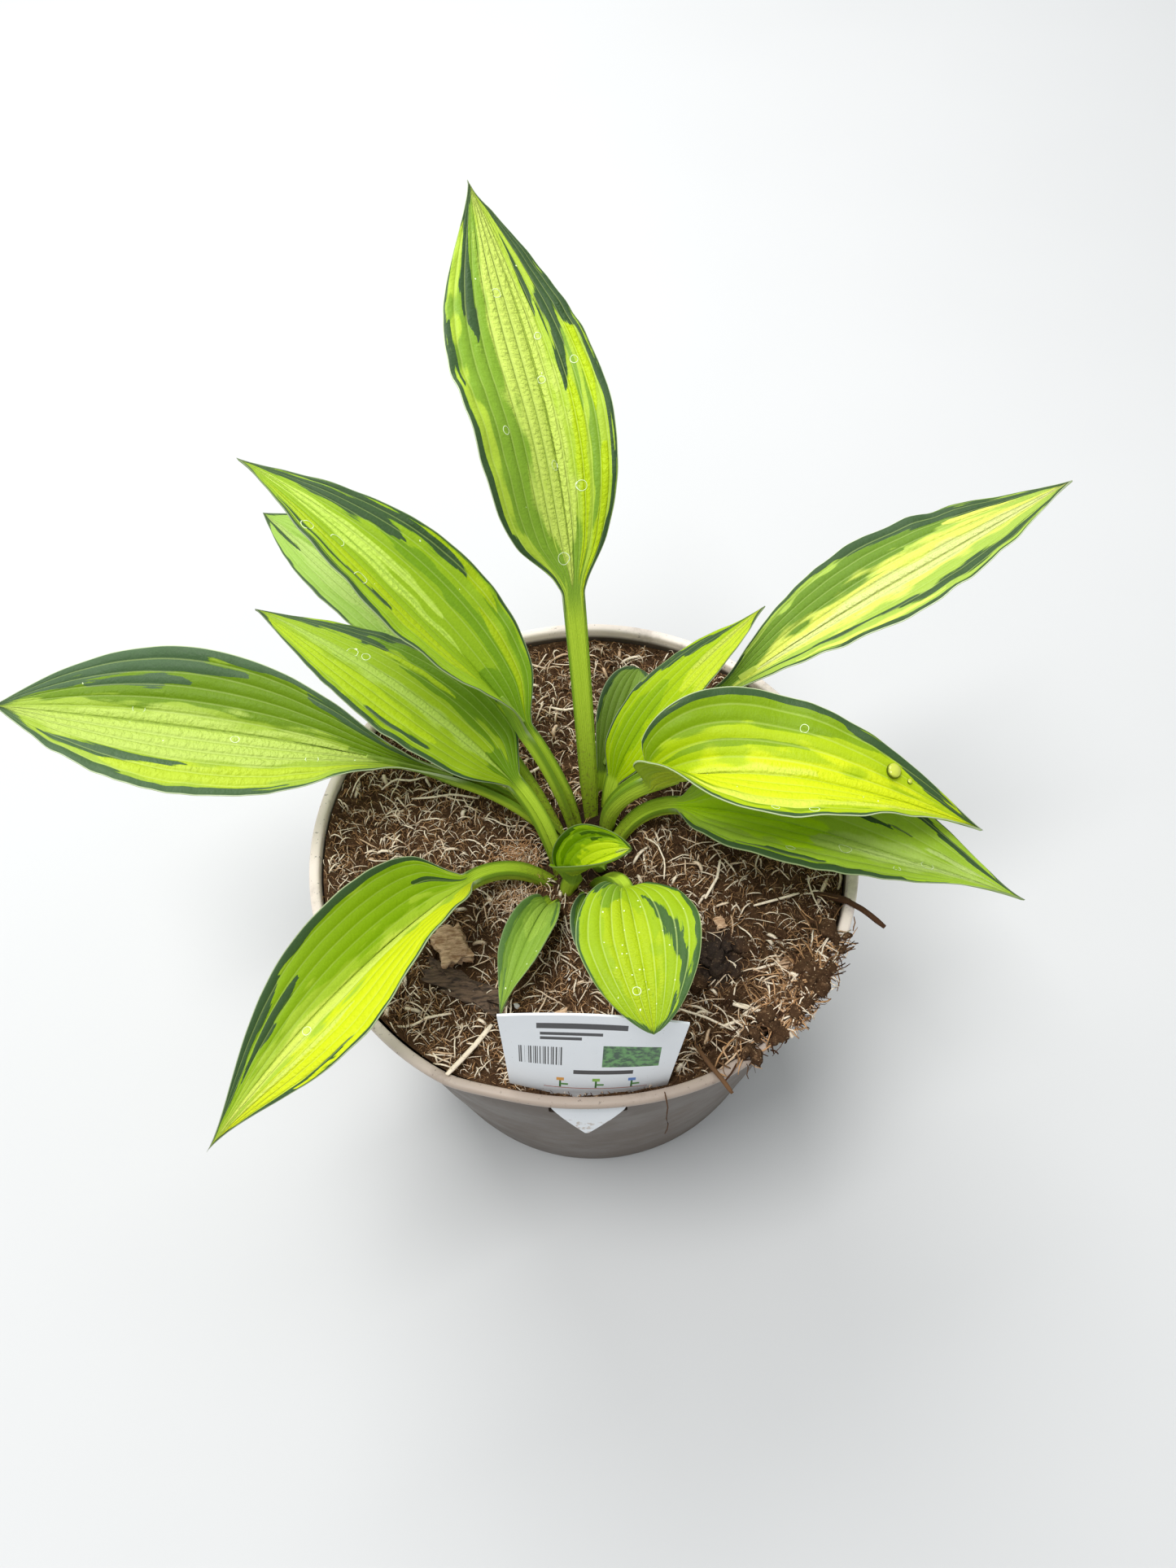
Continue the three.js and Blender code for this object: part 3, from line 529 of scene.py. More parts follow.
# Bigger straws and twigs that lie where they're easily seen: (path, half width, half height, shade).
# The thin upright one is a root that hangs down the pot's near wall.
twigs = laid_strands("straws_and_twigs", strand_template(6, 8), [
    ([(-48, -79, 146.6), (-44, -74, 143.6), (-39, -68, 141.2), (-34, -62, 140.6)], 0.9, 0.5, 0.95),
    ([(-66, -60, 141), (-60, -61, 142.4), (-54, -58, 141.6), (-47, -57, 140.4)], 0.45, 0.4, 0.9),
    ([(-71, 30, 140), (-66, 33, 141.6), (-60, 32, 141.2), (-54, 34, 140)], 0.4, 0.35, 0.95),
    ([(-60, 25, 140.2), (-52, 24, 141.8), (-45, 25, 141.2), (-36, 23, 140)], 0.4, 0.3, 0.9),
    ([(-50, 38, 140.2), (-44, 34, 142), (-37, 32, 142), (-29, 33, 140.4)], 0.55, 0.4, 1.0),
    ([(78, -26, 141), (85, -30.4, 145.9), (91, -36, 147.4), (96.5, -42.5, 147.4)], 1.0, 0.9, 0.06),
    ([(76, -25, 139.6), (81.5, -28, 143), (87, -32.2, 147)], 1.3, 1.0, 0.06),
    ([(30.6, -75.7, 143.5), (34, -83, 146), (37, -88, 147), (39.6, -92.5, 146.6)], 0.8, 0.5, 0.16),
    ([(44, -63, 144), (50, -66, 146.2), (57, -71, 146.6), (61, -76, 145.4)], 0.9, 0.5, 0.96),
    ([(52, -52, 143.6), (60, -51, 145.2), (69, -52, 145.4), (76, -50, 144)], 0.5, 0.4, 0.98),
    ([(56, -28, 140.6), (63, -27, 141.4), (72, -25, 141)], 0.45, 0.4, 0.95),
    ([(40, -24, 140.8), (45, -17, 141.9), (47, -10, 141)], 0.5, 0.4, 0.9),
    ([(27, -62, 140.4), (35, -66, 141.8), (43, -71, 142)], 0.4, 0.35, 0.95),
    ([(19.2, -91.2, 146.2), (19.6, -94.2, 145.4), (19.9, -94.9, 141), (19.3, -94.9, 133), (20.2, -95, 124),
      (19.2, -94.8, 114)], 0.24, 0.24, 0.1),
    ([(22, 2, 139.4), (26, -2, 141.4), (28, -9, 141.2), (27, -15, 139.8)], 0.3, 0.3, 0.85),
    ([(-8, 60, 140), (-3, 57, 141.6), (4, 58, 141.2), (10, 55, 140)], 0.5, 0.35, 0.95),
    ([(15, 70, 140), (20, 66, 141.4), (26, 66, 140.8)], 0.5, 0.35, 0.9),
])

fibre, place, shader = finish_of("coir_and_straw", 0.8, Specular_IOR_Level=0.2)
shade = painted_on(shader.id_data, "shade")
colour = tint(fade(shade, 0.0, 0.6), (0.055, 0.021, 0.008), (0.58, 0.325, 0.15))
colour = tint(fade(shade, 0.6, 0.88), colour, (1.0, 0.86, 0.67))
colour = tint(fade(shade, 1.05, 1.2), colour, (0.55, 0.29, 0.13))
streaks = grain(place, 900, 3, 0.7)
colour = tint(times(fade(streaks, 0.48, 0.72), 0.4), colour, (0.14, 0.085, 0.05))
raise_surface(shader, streaks, 0.0003, 0.6)
coat(fibre, shader, colour, coir, chaff, straws, loose, twigs)
for piece in (coir, chaff, straws, loose, twigs):
    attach(piece, "root")


def lump(centre, size, turn, seed, rough, cuts, boxy=False):
    """A rough lump of the given size, laid on the soil."""
    if boxy:
        bpy.ops.mesh.primitive_cube_add(size=2)
        bpy.ops.object.mode_set(mode="EDIT")
        bpy.ops.mesh.select_all(action="SELECT")
        bpy.ops.mesh.bevel(offset=0.25, segments=2)
        bpy.ops.mesh.subdivide(number_cuts=cuts)
        bpy.ops.object.mode_set(mode="OBJECT")
    else:
        bpy.ops.mesh.primitive_ico_sphere_add(subdivisions=cuts, radius=1)
    piece = bpy.context.object
    for vertex in piece.data.vertices:
        x, y, z = vertex.co
        bump = 1 + rough * noise.noise(Vector((x * 2.1 + seed, y * 2.1, z * 2.1)))
        x, y, z = x * bump * size[0] / 2, y * bump * size[1] / 2, z * bump * size[2] / 2
        x, y = spun(x, y, turn)
        vertex.co = ((x + centre[0]) / 1000, (y + centre[1]) / 1000, (z + centre[2]) / 1000)
    return piece


def joined(name, pieces):
    pick(pieces[0])
    for piece in pieces:
        piece.select_set(True)
    bpy.ops.object.join()
    pieces[0].name = name
    settle(pieces[0], 70)
    return pieces[0]


# Clods of peat: over the soil, heaped over the rim, and on the dark patch.
clods = []
for index in range(COUNTS["clods"] + COUNTS["rim_clods"] + COUNTS["dark_patch_clods"]):
    if index < COUNTS["clods"]:
        x, y = random_place(86)
        z = soil_height(x, y) + 0.2
        size = rng.uniform(1.5, 4.6)
    elif index < COUNTS["clods"] + COUNTS["rim_clods"]:
        _, _, x, y = spilled_place(8.5, 84, 95.5)
        lift, size = rng.uniform(-0.3, 0.3), rng.uniform(2.6, 6.5)
        z = RIM_TOP + lift + 0.28 * size
    else:
        x, y, z, size = 42 + rng.normal(0, 4.5), -44 + rng.normal(0, 4.5), 139.8, rng.uniform(4, 8)
    sizes = (size, size * rng.uniform(0.6, 1), size * rng.uniform(0.5, 0.8))
    clods.append(lump((x, y, z), sizes, rng.uniform(0, 6.3), index * 3.3, 0.9, 2))
clod = joined("peat_clods", clods)
clod.data.materials.append(peat)

# A tan bark chip, a long dark piece of bark and some small red-brown chips.
chip = joined("bark_chips", [lump(*shape, 0.5, cuts, True) for *shape, cuts in [
    ((-46.7, -33.5, 140.6), (9.5, 13, 4.6), 0.35, 4.0, 4),
    ((23, -20, 140.4), (4.2, 6, 1.6), 0.8, 9.0, 3),
    ((62.5, -52, 145.2), (3.8, 5.6, 1.6), -0.9, 5.0, 3),
    ((-12, -61, 140), (5, 3.6, 1.6), 0.2, 7.0, 3),
    ((44, -33, 140.2), (4, 3, 1.4), 1.9, 6.0, 3),
]])
dark_bark = joined("dark_bark", [lump((-42.9, -48.3, 139.6), (24, 7.4, 4), -0.55, 2.0, 0.8, 5, True)])


def woody(name, piece, stretch, fine, colours, contrast, depth):
    """Lays bark on a piece: ridges drawn out along the wood, dark between and light on top."""
    skin, place, shader = finish_of(name, 0.85)
    ridges = grain(added("Mapping", place, None, *stretch)[0], *fine)
    raise_surface(shader, ridges, *depth)
    coat(skin, shader, tint(fade(ridges, *contrast) if contrast else ridges, *colours), piece)


for piece, name, colours in [
    (chip, "tan_bark", [(0.38, 0.20, 0.10), (0.86, 0.60, 0.38)]),
    (dark_bark, "weathered_bark", [(0.045, 0.028, 0.018), (0.19, 0.12, 0.075)]),
]:
    slanting = [(0, 0, 0.55), (0.3, 1.4, 1)]
    woody(name, piece, slanting, (620, 4, 0.7), colours, (0.35, 0.65), (0.0012, 0.9))

# Grains of white perlite.
grains = []
for x, y, size in [
    (-25.7, -55.7, 2.2), (68, -58, 1.4), (59, -44, 1.6), (-60, -12, 1.2), (36, -60, 1.2), (-30, -40, 1.1),
    (12, 48, 1.3), (-14, 66, 1.2), (70, -8, 1.2), (-70, 10, 1.3), (47, -70, 1.1), (-8, -48, 1.0),
    (30, -36, 1.0),
]:
    centre = (x, y, soil_height(x, y) + crumbs(x, y) + 0.6)
    grains.append(lump(centre, (size, size * 0.8, size * 0.7), x, y, 0.6, 2))
perlite = joined("perlite_grains", grains)
chalky, place, shader = finish_of("perlite", 0.9)
coat(chalky, shader, tint(grain(place, 2500, 2, 0.6), (0.86, 0.85, 0.82), (0.55, 0.52, 0.48)), perlite)
for piece in (clod, chip, dark_bark, perlite):
    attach(piece, "root")

# ---- Crown ----------------------------------------------------------------------------------
# The short woody rootstock under the soil that every leaf stalk grows from. It's left as the
# solid that it is, with a fibrous bark finish.
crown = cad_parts["crown"]
crown.data.materials.clear()
upright, browns = [None, (1, 1, 0.25)], [(0.11, 0.07, 0.035), (0.38, 0.30, 0.16)]
woody("crown_bark", crown, upright, (450, 4, 0.65), browns, None, (0.0006, 0.8))

# ---- Leaves ---------------------------------------------------------------------------------
# Fifteen pointed leaves on channelled stalks, yellow-green in the middle with ragged dark green
# margins. Each blade is pleated along its veins and has a fine pale edge. Sizes in mm and degrees.
FOOT_HEIGHT, STEM_SHARE, STEM_DEPTH = 130.0, 0.2, 3
LEAF_FIELDS = ["name", "foot", "stalk", "blade", "width", "neck",
               "heading", "lean", "roll", "taper", "fold", "curl", "skew"]
LEAVES = [dict(zip(LEAF_FIELDS, row)) for row in [
    ("leaf_back", (4, 12.2), 91.5, 138.5, 55, 8,
     (89, 91, 111), (14, 43, 64, 64), (21, 12), (1, 1.25), (2, 38, 0), (-16, -15), 0.25),
    ("leaf_right_back", (13.5, 18), 62, 133.5, 44, 7,
     (37, 18, 21), (30, 60, 73, 74), (-10, -22), (1.3, 1.2), (34, 25, 10), (-11, -11), 0),
    ("leaf_right_inner", (9.4, 14.8), 21, 80.5, 22, 7,
     (76, 44, 20), (18, 30, 57, 63), (-6, -16), (0.75, 1.05), (32, 21, -1), (-15, -19), -0.05),
    ("leaf_back_small", (7.2, 20), 16.5, 39.5, 20, 6,
     (73, 67, 59), (20, 42, 61, 79), (1, 11), (1.2, 0.55), (33, 23, 17), (-14, -6), 0),
    ("leaf_right_upper", (9.2, 9.3), 42.5, 113, 55, 12,
     (2, -12, -16), (-6, 54, 98, 113), (-14, -11), (0.6, 1.3), (79, 18, 39), (3, 2), 0),
    ("leaf_right_lower", (10.2, 2.4), 35.5, 117.5, 57, 7,
     (48, -24, -24), (28, 68, 92, 99), (-7, -14), (0.75, 1.4), (35, 26, 19), (-3, 2), 0.05),
    ("leaf_left_back", (-1.2, 10.2), 50.5, 132.5, 46, 7,
     (120, 140, 139), (16, 38, 56, 91), (24, 7), (0.95, 1.45), (58, 24, 21), (4, -3), 0),
    ("leaf_left_hidden", (-6.6, 8), 66, 119.5, 39, 7,
     (126, 126, 133), (44, 70, 92, 101), (-5, 0), (0.9, 1.1), (32, 31, 11), (-8, -9), 0),
    ("leaf_left_mid", (-8.2, -7.8), 43, 110.5, 42, 7,
     (101, 137, 150), (25, 54, 78, 92), (12, 22), (0.7, 1.1), (36, 16, 4), (-17, -18), 0.05),
    ("leaf_left", (-3.1, 2.4), 53.5, 149.5, 58, 6,
     (142, 169, 177), (36, 69, 78, 74), (-18, 7), (1.65, 1.05), (80, 19, 22), (17, -4), 0.1),
    ("leaf_front_left", (-8, -11.2, 127.8), 43, 116.5, 51, 7,
     (153, 224, 231), (37, 67, 84, 106), (9, -23), (0.85, 1.55), (35, 54, 1), (15, -10), 0.05),
    ("leaf_unfurling", (-7, -13.4), 15, 30, 28, 6,
     (7, -10, -4), (6, 21, 41, 62), (-9, -1), (0.7, 0.85), (71, 38, 25), (66, 21), 0),
    ("leaf_front_tiny", (-1.1, -15.7), 15.5, 31, 14, 6,
     (292, 275, 257), (14, 41, 74, 96), (-17, -1), (1.05, 1.1), (60, 23, 12), (4, -10), 0),
    ("leaf_front_small", (-11.7, -16.5), 14, 47.5, 16, 6,
     (259, 247, 249), (8, 45, 80, 99), (-6, 13), (0.75, 1.1), (42, 35, 16), (3, -5), 0.05),
    ("leaf_front_round", (2.4, -10.3), 57.5, 56.5, 35, 5.5,
     (309, 275, 273), (18, 40, 75, 114), (-13, 13), (0.68, 0.77), (22, 16, 10), (-13, -11), 0.04),
]]
# How each leaf is coloured. Shares across run from 1 at its left margin to -1 at its right one, as
# seen along the leaf from its stalk, and shares along from 0 at the foot of the blade to 1 at the tip.
# "edges" is the width of the dark margin (left, right), and "trim" narrows or widens the two sides at
# shares along. A mark is a long pointed streak (from, across there, to, across there, half width).
# Colours are 0 to 255.
LEAF_COLOURS = {"Dark": (64, 92, 52), "Green": (130, 168, 32), "Lime": (180, 210, 40),
                "Bright": (214, 232, 40), "Pale": (206, 228, 110)}
LEAF_VALUES = ["Veins", "Seed", "Base green", "Vein strength", "Edge line", "Pucker"]
PLAIN = dict(veins=6, base_green=0.0, vein_strength=0.3, edge_line=0.3, pucker=0.5,
             edges=(0.038, 0.038), tip=0.88, flare=0.13, relief=0.13, ripple=1.2, lobe=1.5, trim=[(0, 1, 1)],
             dark=[], gaps=[], green=[], bright=[], pale=[])
PATTERNS = {
    "leaf_back": dict(
        veins=7, edge_line=0.9, pucker=0.9, ripple=1.5, Green=(140, 180, 50), Lime=(192, 222, 66),
        Bright=(200, 228, 22), Pale=(216, 238, 104),
        trim=[(0, 1, 1), (0.05, 0.85, 1), (0.12, 0.97, 1), (0.2, 1, 1), (0.92, 1, 1), (0.97, 1, 0.5)],
        dark=[(1.02, 0.84, 0.58, 0.62, 0.14), (0.64, 0.94, 0.45, 0.91, 0.031),
              (1.1, -0.85, 0.6, -0.82, 0.34), (0.86, -0.72, 0.455, -0.37, 0.15),
              (0.86, -0.38, 0.645, -0.27, 0.07), (0.7, -0.9, 0.22, -0.93, 0.043),
              (0.3, -0.95, -0.05, -0.88, 0.074), (0.16, 0.92, -0.08, 0.85, 0.099),
              (0.4, 0.97, 0.1, 0.95, 0.043)],
        green=[(1, 0.6, 0.02, 0.55, 0.42), (0.5, -0.7, 0.14, -0.62, 0.1), (0.62, -0.62, 0.4, -0.55, 0.06),
              (0.2, 0, -0.2, 0, 0.9)],
        bright=[(0.68, -0.79, 0.4, -0.75, 0.09), (0.33, -0.8, -0.05, -0.75, 0.15),
              (0.55, -0.45, 0.02, -0.42, 0.13)],
        pale=[(1.05, 0.15, 0.02, 0.05, 0.5)]),
    "leaf_right_back": dict(
        veins=6, edge_line=0.9, pucker=0.8, Green=(112, 148, 36), Lime=(178, 208, 80),
        Bright=(236, 246, 104), Pale=(238, 246, 150),
        trim=[(0, 1, 1), (0.5, 1, 1.03), (0.8, 1, 0.9), (0.95, 1, 0.8)],
        dark=[(1.02, 0.7, 0.42, 0.9, 0.2), (0.55, 0.94, 0.1, 0.94, 0.05), (1.02, -0.8, 0.46, -0.72, 0.17),
              (0.56, -0.66, 0, -0.6, 0.05), (0.62, -0.96, 0.02, -0.95, 0.043), (0.1, 0.9, -0.1, 0.8, 0.2)],
        green=[(0.82, 0.68, -0.1, 0.62, 0.27), (0.58, 0.45, -0.3, 0.25, 0.32)],
        bright=[(1.1, 0.15, -0.1, -0.22, 0.55), (0.86, 0.62, 0.69, 0.58, 0.14),
              (0.58, -0.86, 0.2, -0.84, 0.07)],
        pale=[(1.05, 0.08, 0.1, -0.12, 0.3)]),
    "leaf_right_inner": dict(
        veins=4, Green=(152, 190, 2), Lime=(174, 206, 6), Bright=(206, 228, 42), Pale=(214, 232, 84),
        trim=[(0, 1, 1), (0.7, 0.95, 1.05), (0.8, 0.8, 1.15), (0.9, 0.5, 1.25), (0.97, 0.3, 1.1)],
        dark=[(0.98, 0.5, 0.62, 0.56, 0.32), (0.76, 0.78, 0.5, 0.76, 0.17),
              (0.62, 0.9, 0.36, 0.88, 0.074), (0.42, 0.96, 0, 0.95, 0.05)],
        green=[(0.5, 0.3, -0.3, 0.2, 0.7)],
        bright=[(1.05, -0.3, 0.5, -0.35, 0.5), (0.95, -0.85, 0.2, -0.8, 0.28)],
        pale=[(1.0, -0.25, 0.6, -0.1, 0.2)]),
    "leaf_back_small": dict(
        veins=4, base_green=0.3, Green=(98, 128, 36), Lime=(122, 152, 52),
        trim=[(0, 1, 1), (0.3, 0.92, 1), (0.95, 0.9, 1)],
        dark=[(1.0, 0.9, 0.4, 0.95, 0.22), (1.0, -0.9, 0.7, -0.9, 0.2)]),
    "leaf_right_upper": dict(
        veins=5, edge_line=0.7, pucker=0.6, flare=0.03, Green=(138, 172, 12), Lime=(186, 212, 18),
        Bright=(224, 238, 26), Pale=(230, 243, 84),
        dark=[(0.97, 0.42, 0.73, 0.8, 0.18), (0.9, 0.8, 0.54, 0.91, 0.16), (0.64, 0.94, 0.02, 0.93, 0.05),
              (1.04, 0.3, 0.9, 0.5, 0.4)],
        green=[(0.66, 0.8, -0.2, 0.68, 0.3), (0.45, 0.4, -0.1, 0.3, 0.06), (0.5, -0.86, 0.14, -0.7, 0.14)],
        bright=[(1.05, -0.12, 0, -0.3, 0.72)],
        pale=[(0.5, 0.1, 0.02, -0.05, 0.1), (0.9, -0.5, 0.1, -0.85, 0.1)]),
    "leaf_right_lower": dict(
        # Painted light: its Green is lighter than its Lime, to lift the lower half, which the leaf above
        # shades.
        veins=5, base_green=0.04, Green=(186, 230, 6), Lime=(168, 204, 54), Bright=(186, 216, 96),
        Pale=(200, 226, 122),
        trim=[(0, 1, 1), (0.5, 1, 0.95), (0.6, 1, 0.9), (0.7, 1, 0.82), (0.8, 1, 0.68), (0.9, 1, 0.45),
              (0.97, 0.9, 0.3)],
        dark=[(1.03, 0.6, 0.74, 0.8, 0.16), (0.95, 0.74, 0.52, 0.82, 0.11), (0.68, 0.42, 0.46, 0.3, 0.05),
              (0.66, -0.92, 0.02, -0.94, 0.074), (0.48, -0.78, 0.22, -0.8, 0.05)],
        green=[(0.5, -0.2, -0.3, -0.1, 0.7)],
        bright=[(1.0, -0.05, 0.4, -0.25, 0.5)],
        pale=[(0.95, -0.12, 0.5, -0.25, 0.16), (0.95, 0.35, 0.7, 0.3, 0.1)]),
    "leaf_left_back": dict(
        veins=6, Green=(126, 168, 26), Lime=(158, 194, 32), Bright=(178, 206, 22), Pale=(208, 238, 96),
        dark=[(1.06, -0.74, 0.55, -0.6, 0.31), (0.88, -0.93, 0.38, -0.8, 0.12),
              (0.96, 0.94, 0.32, 0.98, 0.062), (0.82, 0.8, 0.58, 0.72, 0.06),
              (0.62, 0.72, 0.46, 0.62, 0.07), (0.9, 0.87, 0.55, 0.86, 0.037),
              (0.3, -0.97, -0.05, -0.95, 0.043)],
        green=[(0.62, -0.52, 0, -0.42, 0.16), (0.36, -0.86, -0.05, -0.8, 0.16), (0.2, 0, -0.3, 0, 1.0)],
        bright=[(0.58, -0.88, 0.28, -0.84, 0.12), (0.32, -0.64, 0.04, -0.6, 0.1),
              (0.9, 0.55, 0.2, 0.5, 0.25)],
        pale=[(1.05, 0.05, 0.25, 0.02, 0.15), (1.05, -0.2, 0.35, -0.16, 0.12)]),
    "leaf_left_hidden": dict(
        veins=5, Lime=(164, 202, 84), Pale=(184, 214, 108),
        trim=[(0, 1, 1), (0.2, 0.86, 1), (0.9, 0.86, 1), (1, 1, 1)],
        dark=[(0.99, 0.55, 0.73, 0.44, 0.13), (0.9, 0.95, 0.3, 0.95, 0.037)],
        pale=[(1.05, 0.3, 0.1, 0.3, 0.4)]),
    "leaf_left_mid": dict(
        veins=6, Green=(112, 152, 12), Lime=(160, 192, 26), Bright=(182, 212, 22), Pale=(182, 212, 84),
        trim=[(0, 1, 1), (0.75, 1, 0.95), (0.85, 1, 0.85), (0.95, 1, 0.7)],
        dark=[(1.08, -0.62, 0.64, -0.7, 0.42), (0.82, -0.5, 0.56, -0.5, 0.17),
              (0.78, -0.82, 0.48, -0.88, 0.16), (0.95, 0.95, -0.02, 0.96, 0.05),
              (0.5, 0.82, 0.24, 0.78, 0.05), (0.5, -0.97, 0, -0.95, 0.062)],
        gaps=[(0.79, -0.47, 0.64, -0.44, 0.07)],
        green=[(0.75, -0.72, -0.2, -0.66, 0.42), (0.5, -0.3, 0.1, -0.25, 0.1), (0.12, 0, -0.3, 0, 1.0)],
        bright=[(1.0, 0.66, 0.25, 0.6, 0.32), (0.6, -0.45, 0.3, -0.4, 0.07)],
        pale=[(1.08, 0.14, -0.05, 0.14, 0.2)]),
    "leaf_left": dict(
        veins=6, edge_line=0.7, pucker=0.8, Dark=(80, 108, 70), Green=(116, 150, 18), Lime=(172, 200, 64),
        Bright=(196, 220, 56), Pale=(198, 222, 100),
        trim=[(0, 1, 1), (0.08, 0.66, 0.88), (0.16, 0.64, 0.85), (0.22, 0.8, 0.92), (0.3, 0.93, 1),
              (0.4, 1, 1.03)],
        dark=[(1.06, -0.85, 0.58, -0.88, 0.37), (0.68, -0.93, 0.08, -0.97, 0.087),
              (0.83, -0.52, 0.6, -0.55, 0.1), (0.78, -0.72, 0.48, -0.78, 0.11),
              (0.36, -0.84, 0.06, -0.8, 0.18), (1.02, 0.86, 0.7, 0.88, 0.099),
              (0.9, 0.72, 0.58, 0.56, 0.11), (0.92, 0.94, 0.28, 0.96, 0.056),
              (0.53, 0.9, 0.36, 0.9, 0.031), (0.3, 0.92, -0.1, 0.85, 0.074)],
        green=[(0.98, -0.55, 0, -0.52, 0.5), (0.26, 0, -0.3, 0, 1.0)],
        bright=[(0.75, 0.76, 0.2, 0.6, 0.25)],
        pale=[(1.05, 0.2, 0.16, 0.12, 0.5)]),
    "leaf_front_left": dict(
        veins=6, edge_line=0.5, relief=0.09, ripple=0.7, Green=(148, 186, 22), Lime=(178, 208, 56),
        Bright=(218, 232, 24), Pale=(222, 238, 98),
        dark=[(1.02, -0.82, 0.58, -0.88, 0.28), (0.83, -0.52, 0.54, -0.62, 0.12),
              (0.66, -0.92, -0.02, -0.96, 0.074), (0.17, -0.55, -0.02, -0.5, 0.13),
              (1, 0.96, 0.6, 0.86, 0.093), (0.78, 0.86, 0.56, 0.84, 0.037)],
        gaps=[(0.76, 0.94, 0.64, 0.9, 0.04)],
        green=[(1.0, -0.6, -0.2, -0.55, 0.52)],
        bright=[(1.02, 0.64, -0.2, 0.6, 0.62)],
        pale=[(1.05, 0.1, 0.08, 0.04, 0.2), (1.0, 0.4, 0.5, 0.4, 0.07)]),
    "leaf_unfurling": dict(
        veins=5, vein_strength=0.1, edge_line=0.1, flare=0.03, relief=0.08, Dark=(66, 100, 8),
        Green=(118, 158, 6), Lime=(150, 188, 12), Bright=(208, 234, 22),
        dark=[(0.87, 0.7, 0.5, 0.74, 0.09), (0.72, 0.56, 0.56, 0.54, 0.05), (0.5, 0.92, 0.02, 0.9, 0.07)],
        green=[(0.9, 0.72, 0.1, 0.66, 0.2), (0.16, 0, -0.4, 0, 1.1)],
        bright=[(1.05, 0, 0.1, -0.2, 0.75)],
        pale=[(1.05, 0, 0.8, 0, 0.2)]),
    "leaf_front_tiny": dict(
        veins=3, base_green=0.4, edges=(0.2, 0.2), Green=(74, 112, 24), Lime=(112, 150, 40)),
    "leaf_front_small": dict(
        veins=3, vein_strength=0.1, edge_line=0.15, pucker=0.5, flare=0.04, relief=0.07, Dark=(92, 128, 60),
        Green=(118, 154, 50), Lime=(146, 182, 66), Bright=(164, 198, 76),
        trim=[(0, 1, 1), (0.46, 0.95, 1.08), (0.6, 0.88, 1.1), (0.73, 0.67, 1), (0.82, 0.48, 0.95),
              (0.91, 0.32, 0.95)],
        dark=[(0.84, -0.9, 0, -0.88, 0.24), (0.98, -0.5, 0.69, -0.52, 0.08),
              (0.36, 0.85, 0.03, 0.8, 0.09)],
        green=[(0.9, -0.6, 0.1, -0.62, 0.2)],
        bright=[(0.45, 0.1, -0.1, 0, 0.7)]),
    "leaf_front_round": dict(
        veins=5, vein_strength=0.5, edge_line=0.15, flare=0.03, relief=0.11, lobe=5, Dark=(70, 104, 48),
        Lime=(160, 192, 16), Bright=(178, 204, 18), Pale=(206, 226, 76),
        trim=[(0, 1, 0.84), (0.1, 1, 0.88), (0.2, 1, 0.92), (0.35, 1, 0.98), (0.5, 1, 1.05), (0.95, 1, 1)],
        dark=[(0.95, 0.98, 0.17, 0.27, 0.15), (1.02, 0.96, 0.02, 0.96, 0.081),
              (0.98, 0.8, 0.82, 0.68, 0.09), (0.78, -0.99, 0.22, -0.99, 0.05),
              (0.17, -0.88, -0.15, -0.8, 0.22), (0.22, 0.92, -0.15, 0.86, 0.099)],
        green=[(0.3, -0.5, -0.2, -0.4, 0.4)],
        bright=[(1.05, -0.1, 0.2, -0.2, 0.6)]),
}


def leaf_paint(colour):
    """A leaf colour given as 0 to 255, as the shader wants it."""
    return tuple(0.79 * ((c / 255 + 0.055) / 1.055) ** 2.4 if c > 10 else 0.0 for c in colour)


def midrib(leaf, lengths):
    """Points of the midrib, with the directions to the leaf's left and up out of its face."""
    stalk, whole = leaf["stalk"], leaf["stalk"] + leaf["blade"]

    def heading_at(lengths):
        heading = np.radians(np.interp(lengths, [0, stalk, whole], leaf["heading"]))
        lean = np.radians(np.interp(lengths, [0, stalk, (stalk + whole) / 2, whole], leaf["lean"]))
        forward = [np.sin(lean) * np.cos(heading), np.sin(lean) * np.sin(heading), np.cos(lean)]
        return heading, np.stack(forward, 1)

    fine = np.linspace(0, whole, 800)
    steps = heading_at((fine[1:] + fine[:-1]) / 2)[1] * np.diff(fine)[:, None]
    path = np.array([*leaf["foot"], FOOT_HEIGHT][:3]) + np.vstack([np.zeros(3), np.cumsum(steps, 0)])
    point = np.stack([np.interp(lengths, fine, path[:, axis]) for axis in range(3)], 1)
    heading, forward = heading_at(lengths)
    left = np.stack([-np.sin(heading), np.cos(heading), 0 * heading], 1)
    up = np.cross(forward, left)
    first, last = leaf["roll"]
    roll = np.radians(np.interp(lengths, [0, stalk, whole], [first / 2, first, last]))[:, None]
    return point, left * np.cos(roll) + up * np.sin(roll), up * np.cos(roll) - left * np.sin(roll)


def half_width(leaf, length, side):
    """Half the width of the stalk or of the blade."""
    stalk = leaf["stalk"]
    neck = leaf["neck"] / 2
    t = np.clip((length - stalk) / leaf["blade"], 0, 1)
    along = np.clip(length / stalk, 0, 1)
    stem = (3.2 + (neck - 3.2) * along ** 2) * (0.65 + 0.35 * np.clip(length / min(20, stalk), 0, 1))
    start, end = leaf["taper"]
    widest = start / (start + end)
    outline = t ** start * (1 - t) ** end / (widest ** start * (1 - widest) ** end)
    blade = leaf["width"] / 2 * outline * (1 + side * leaf["skew"]) + neck * (1 - t) ** 3
    return np.where(length < stalk, stem, blade)


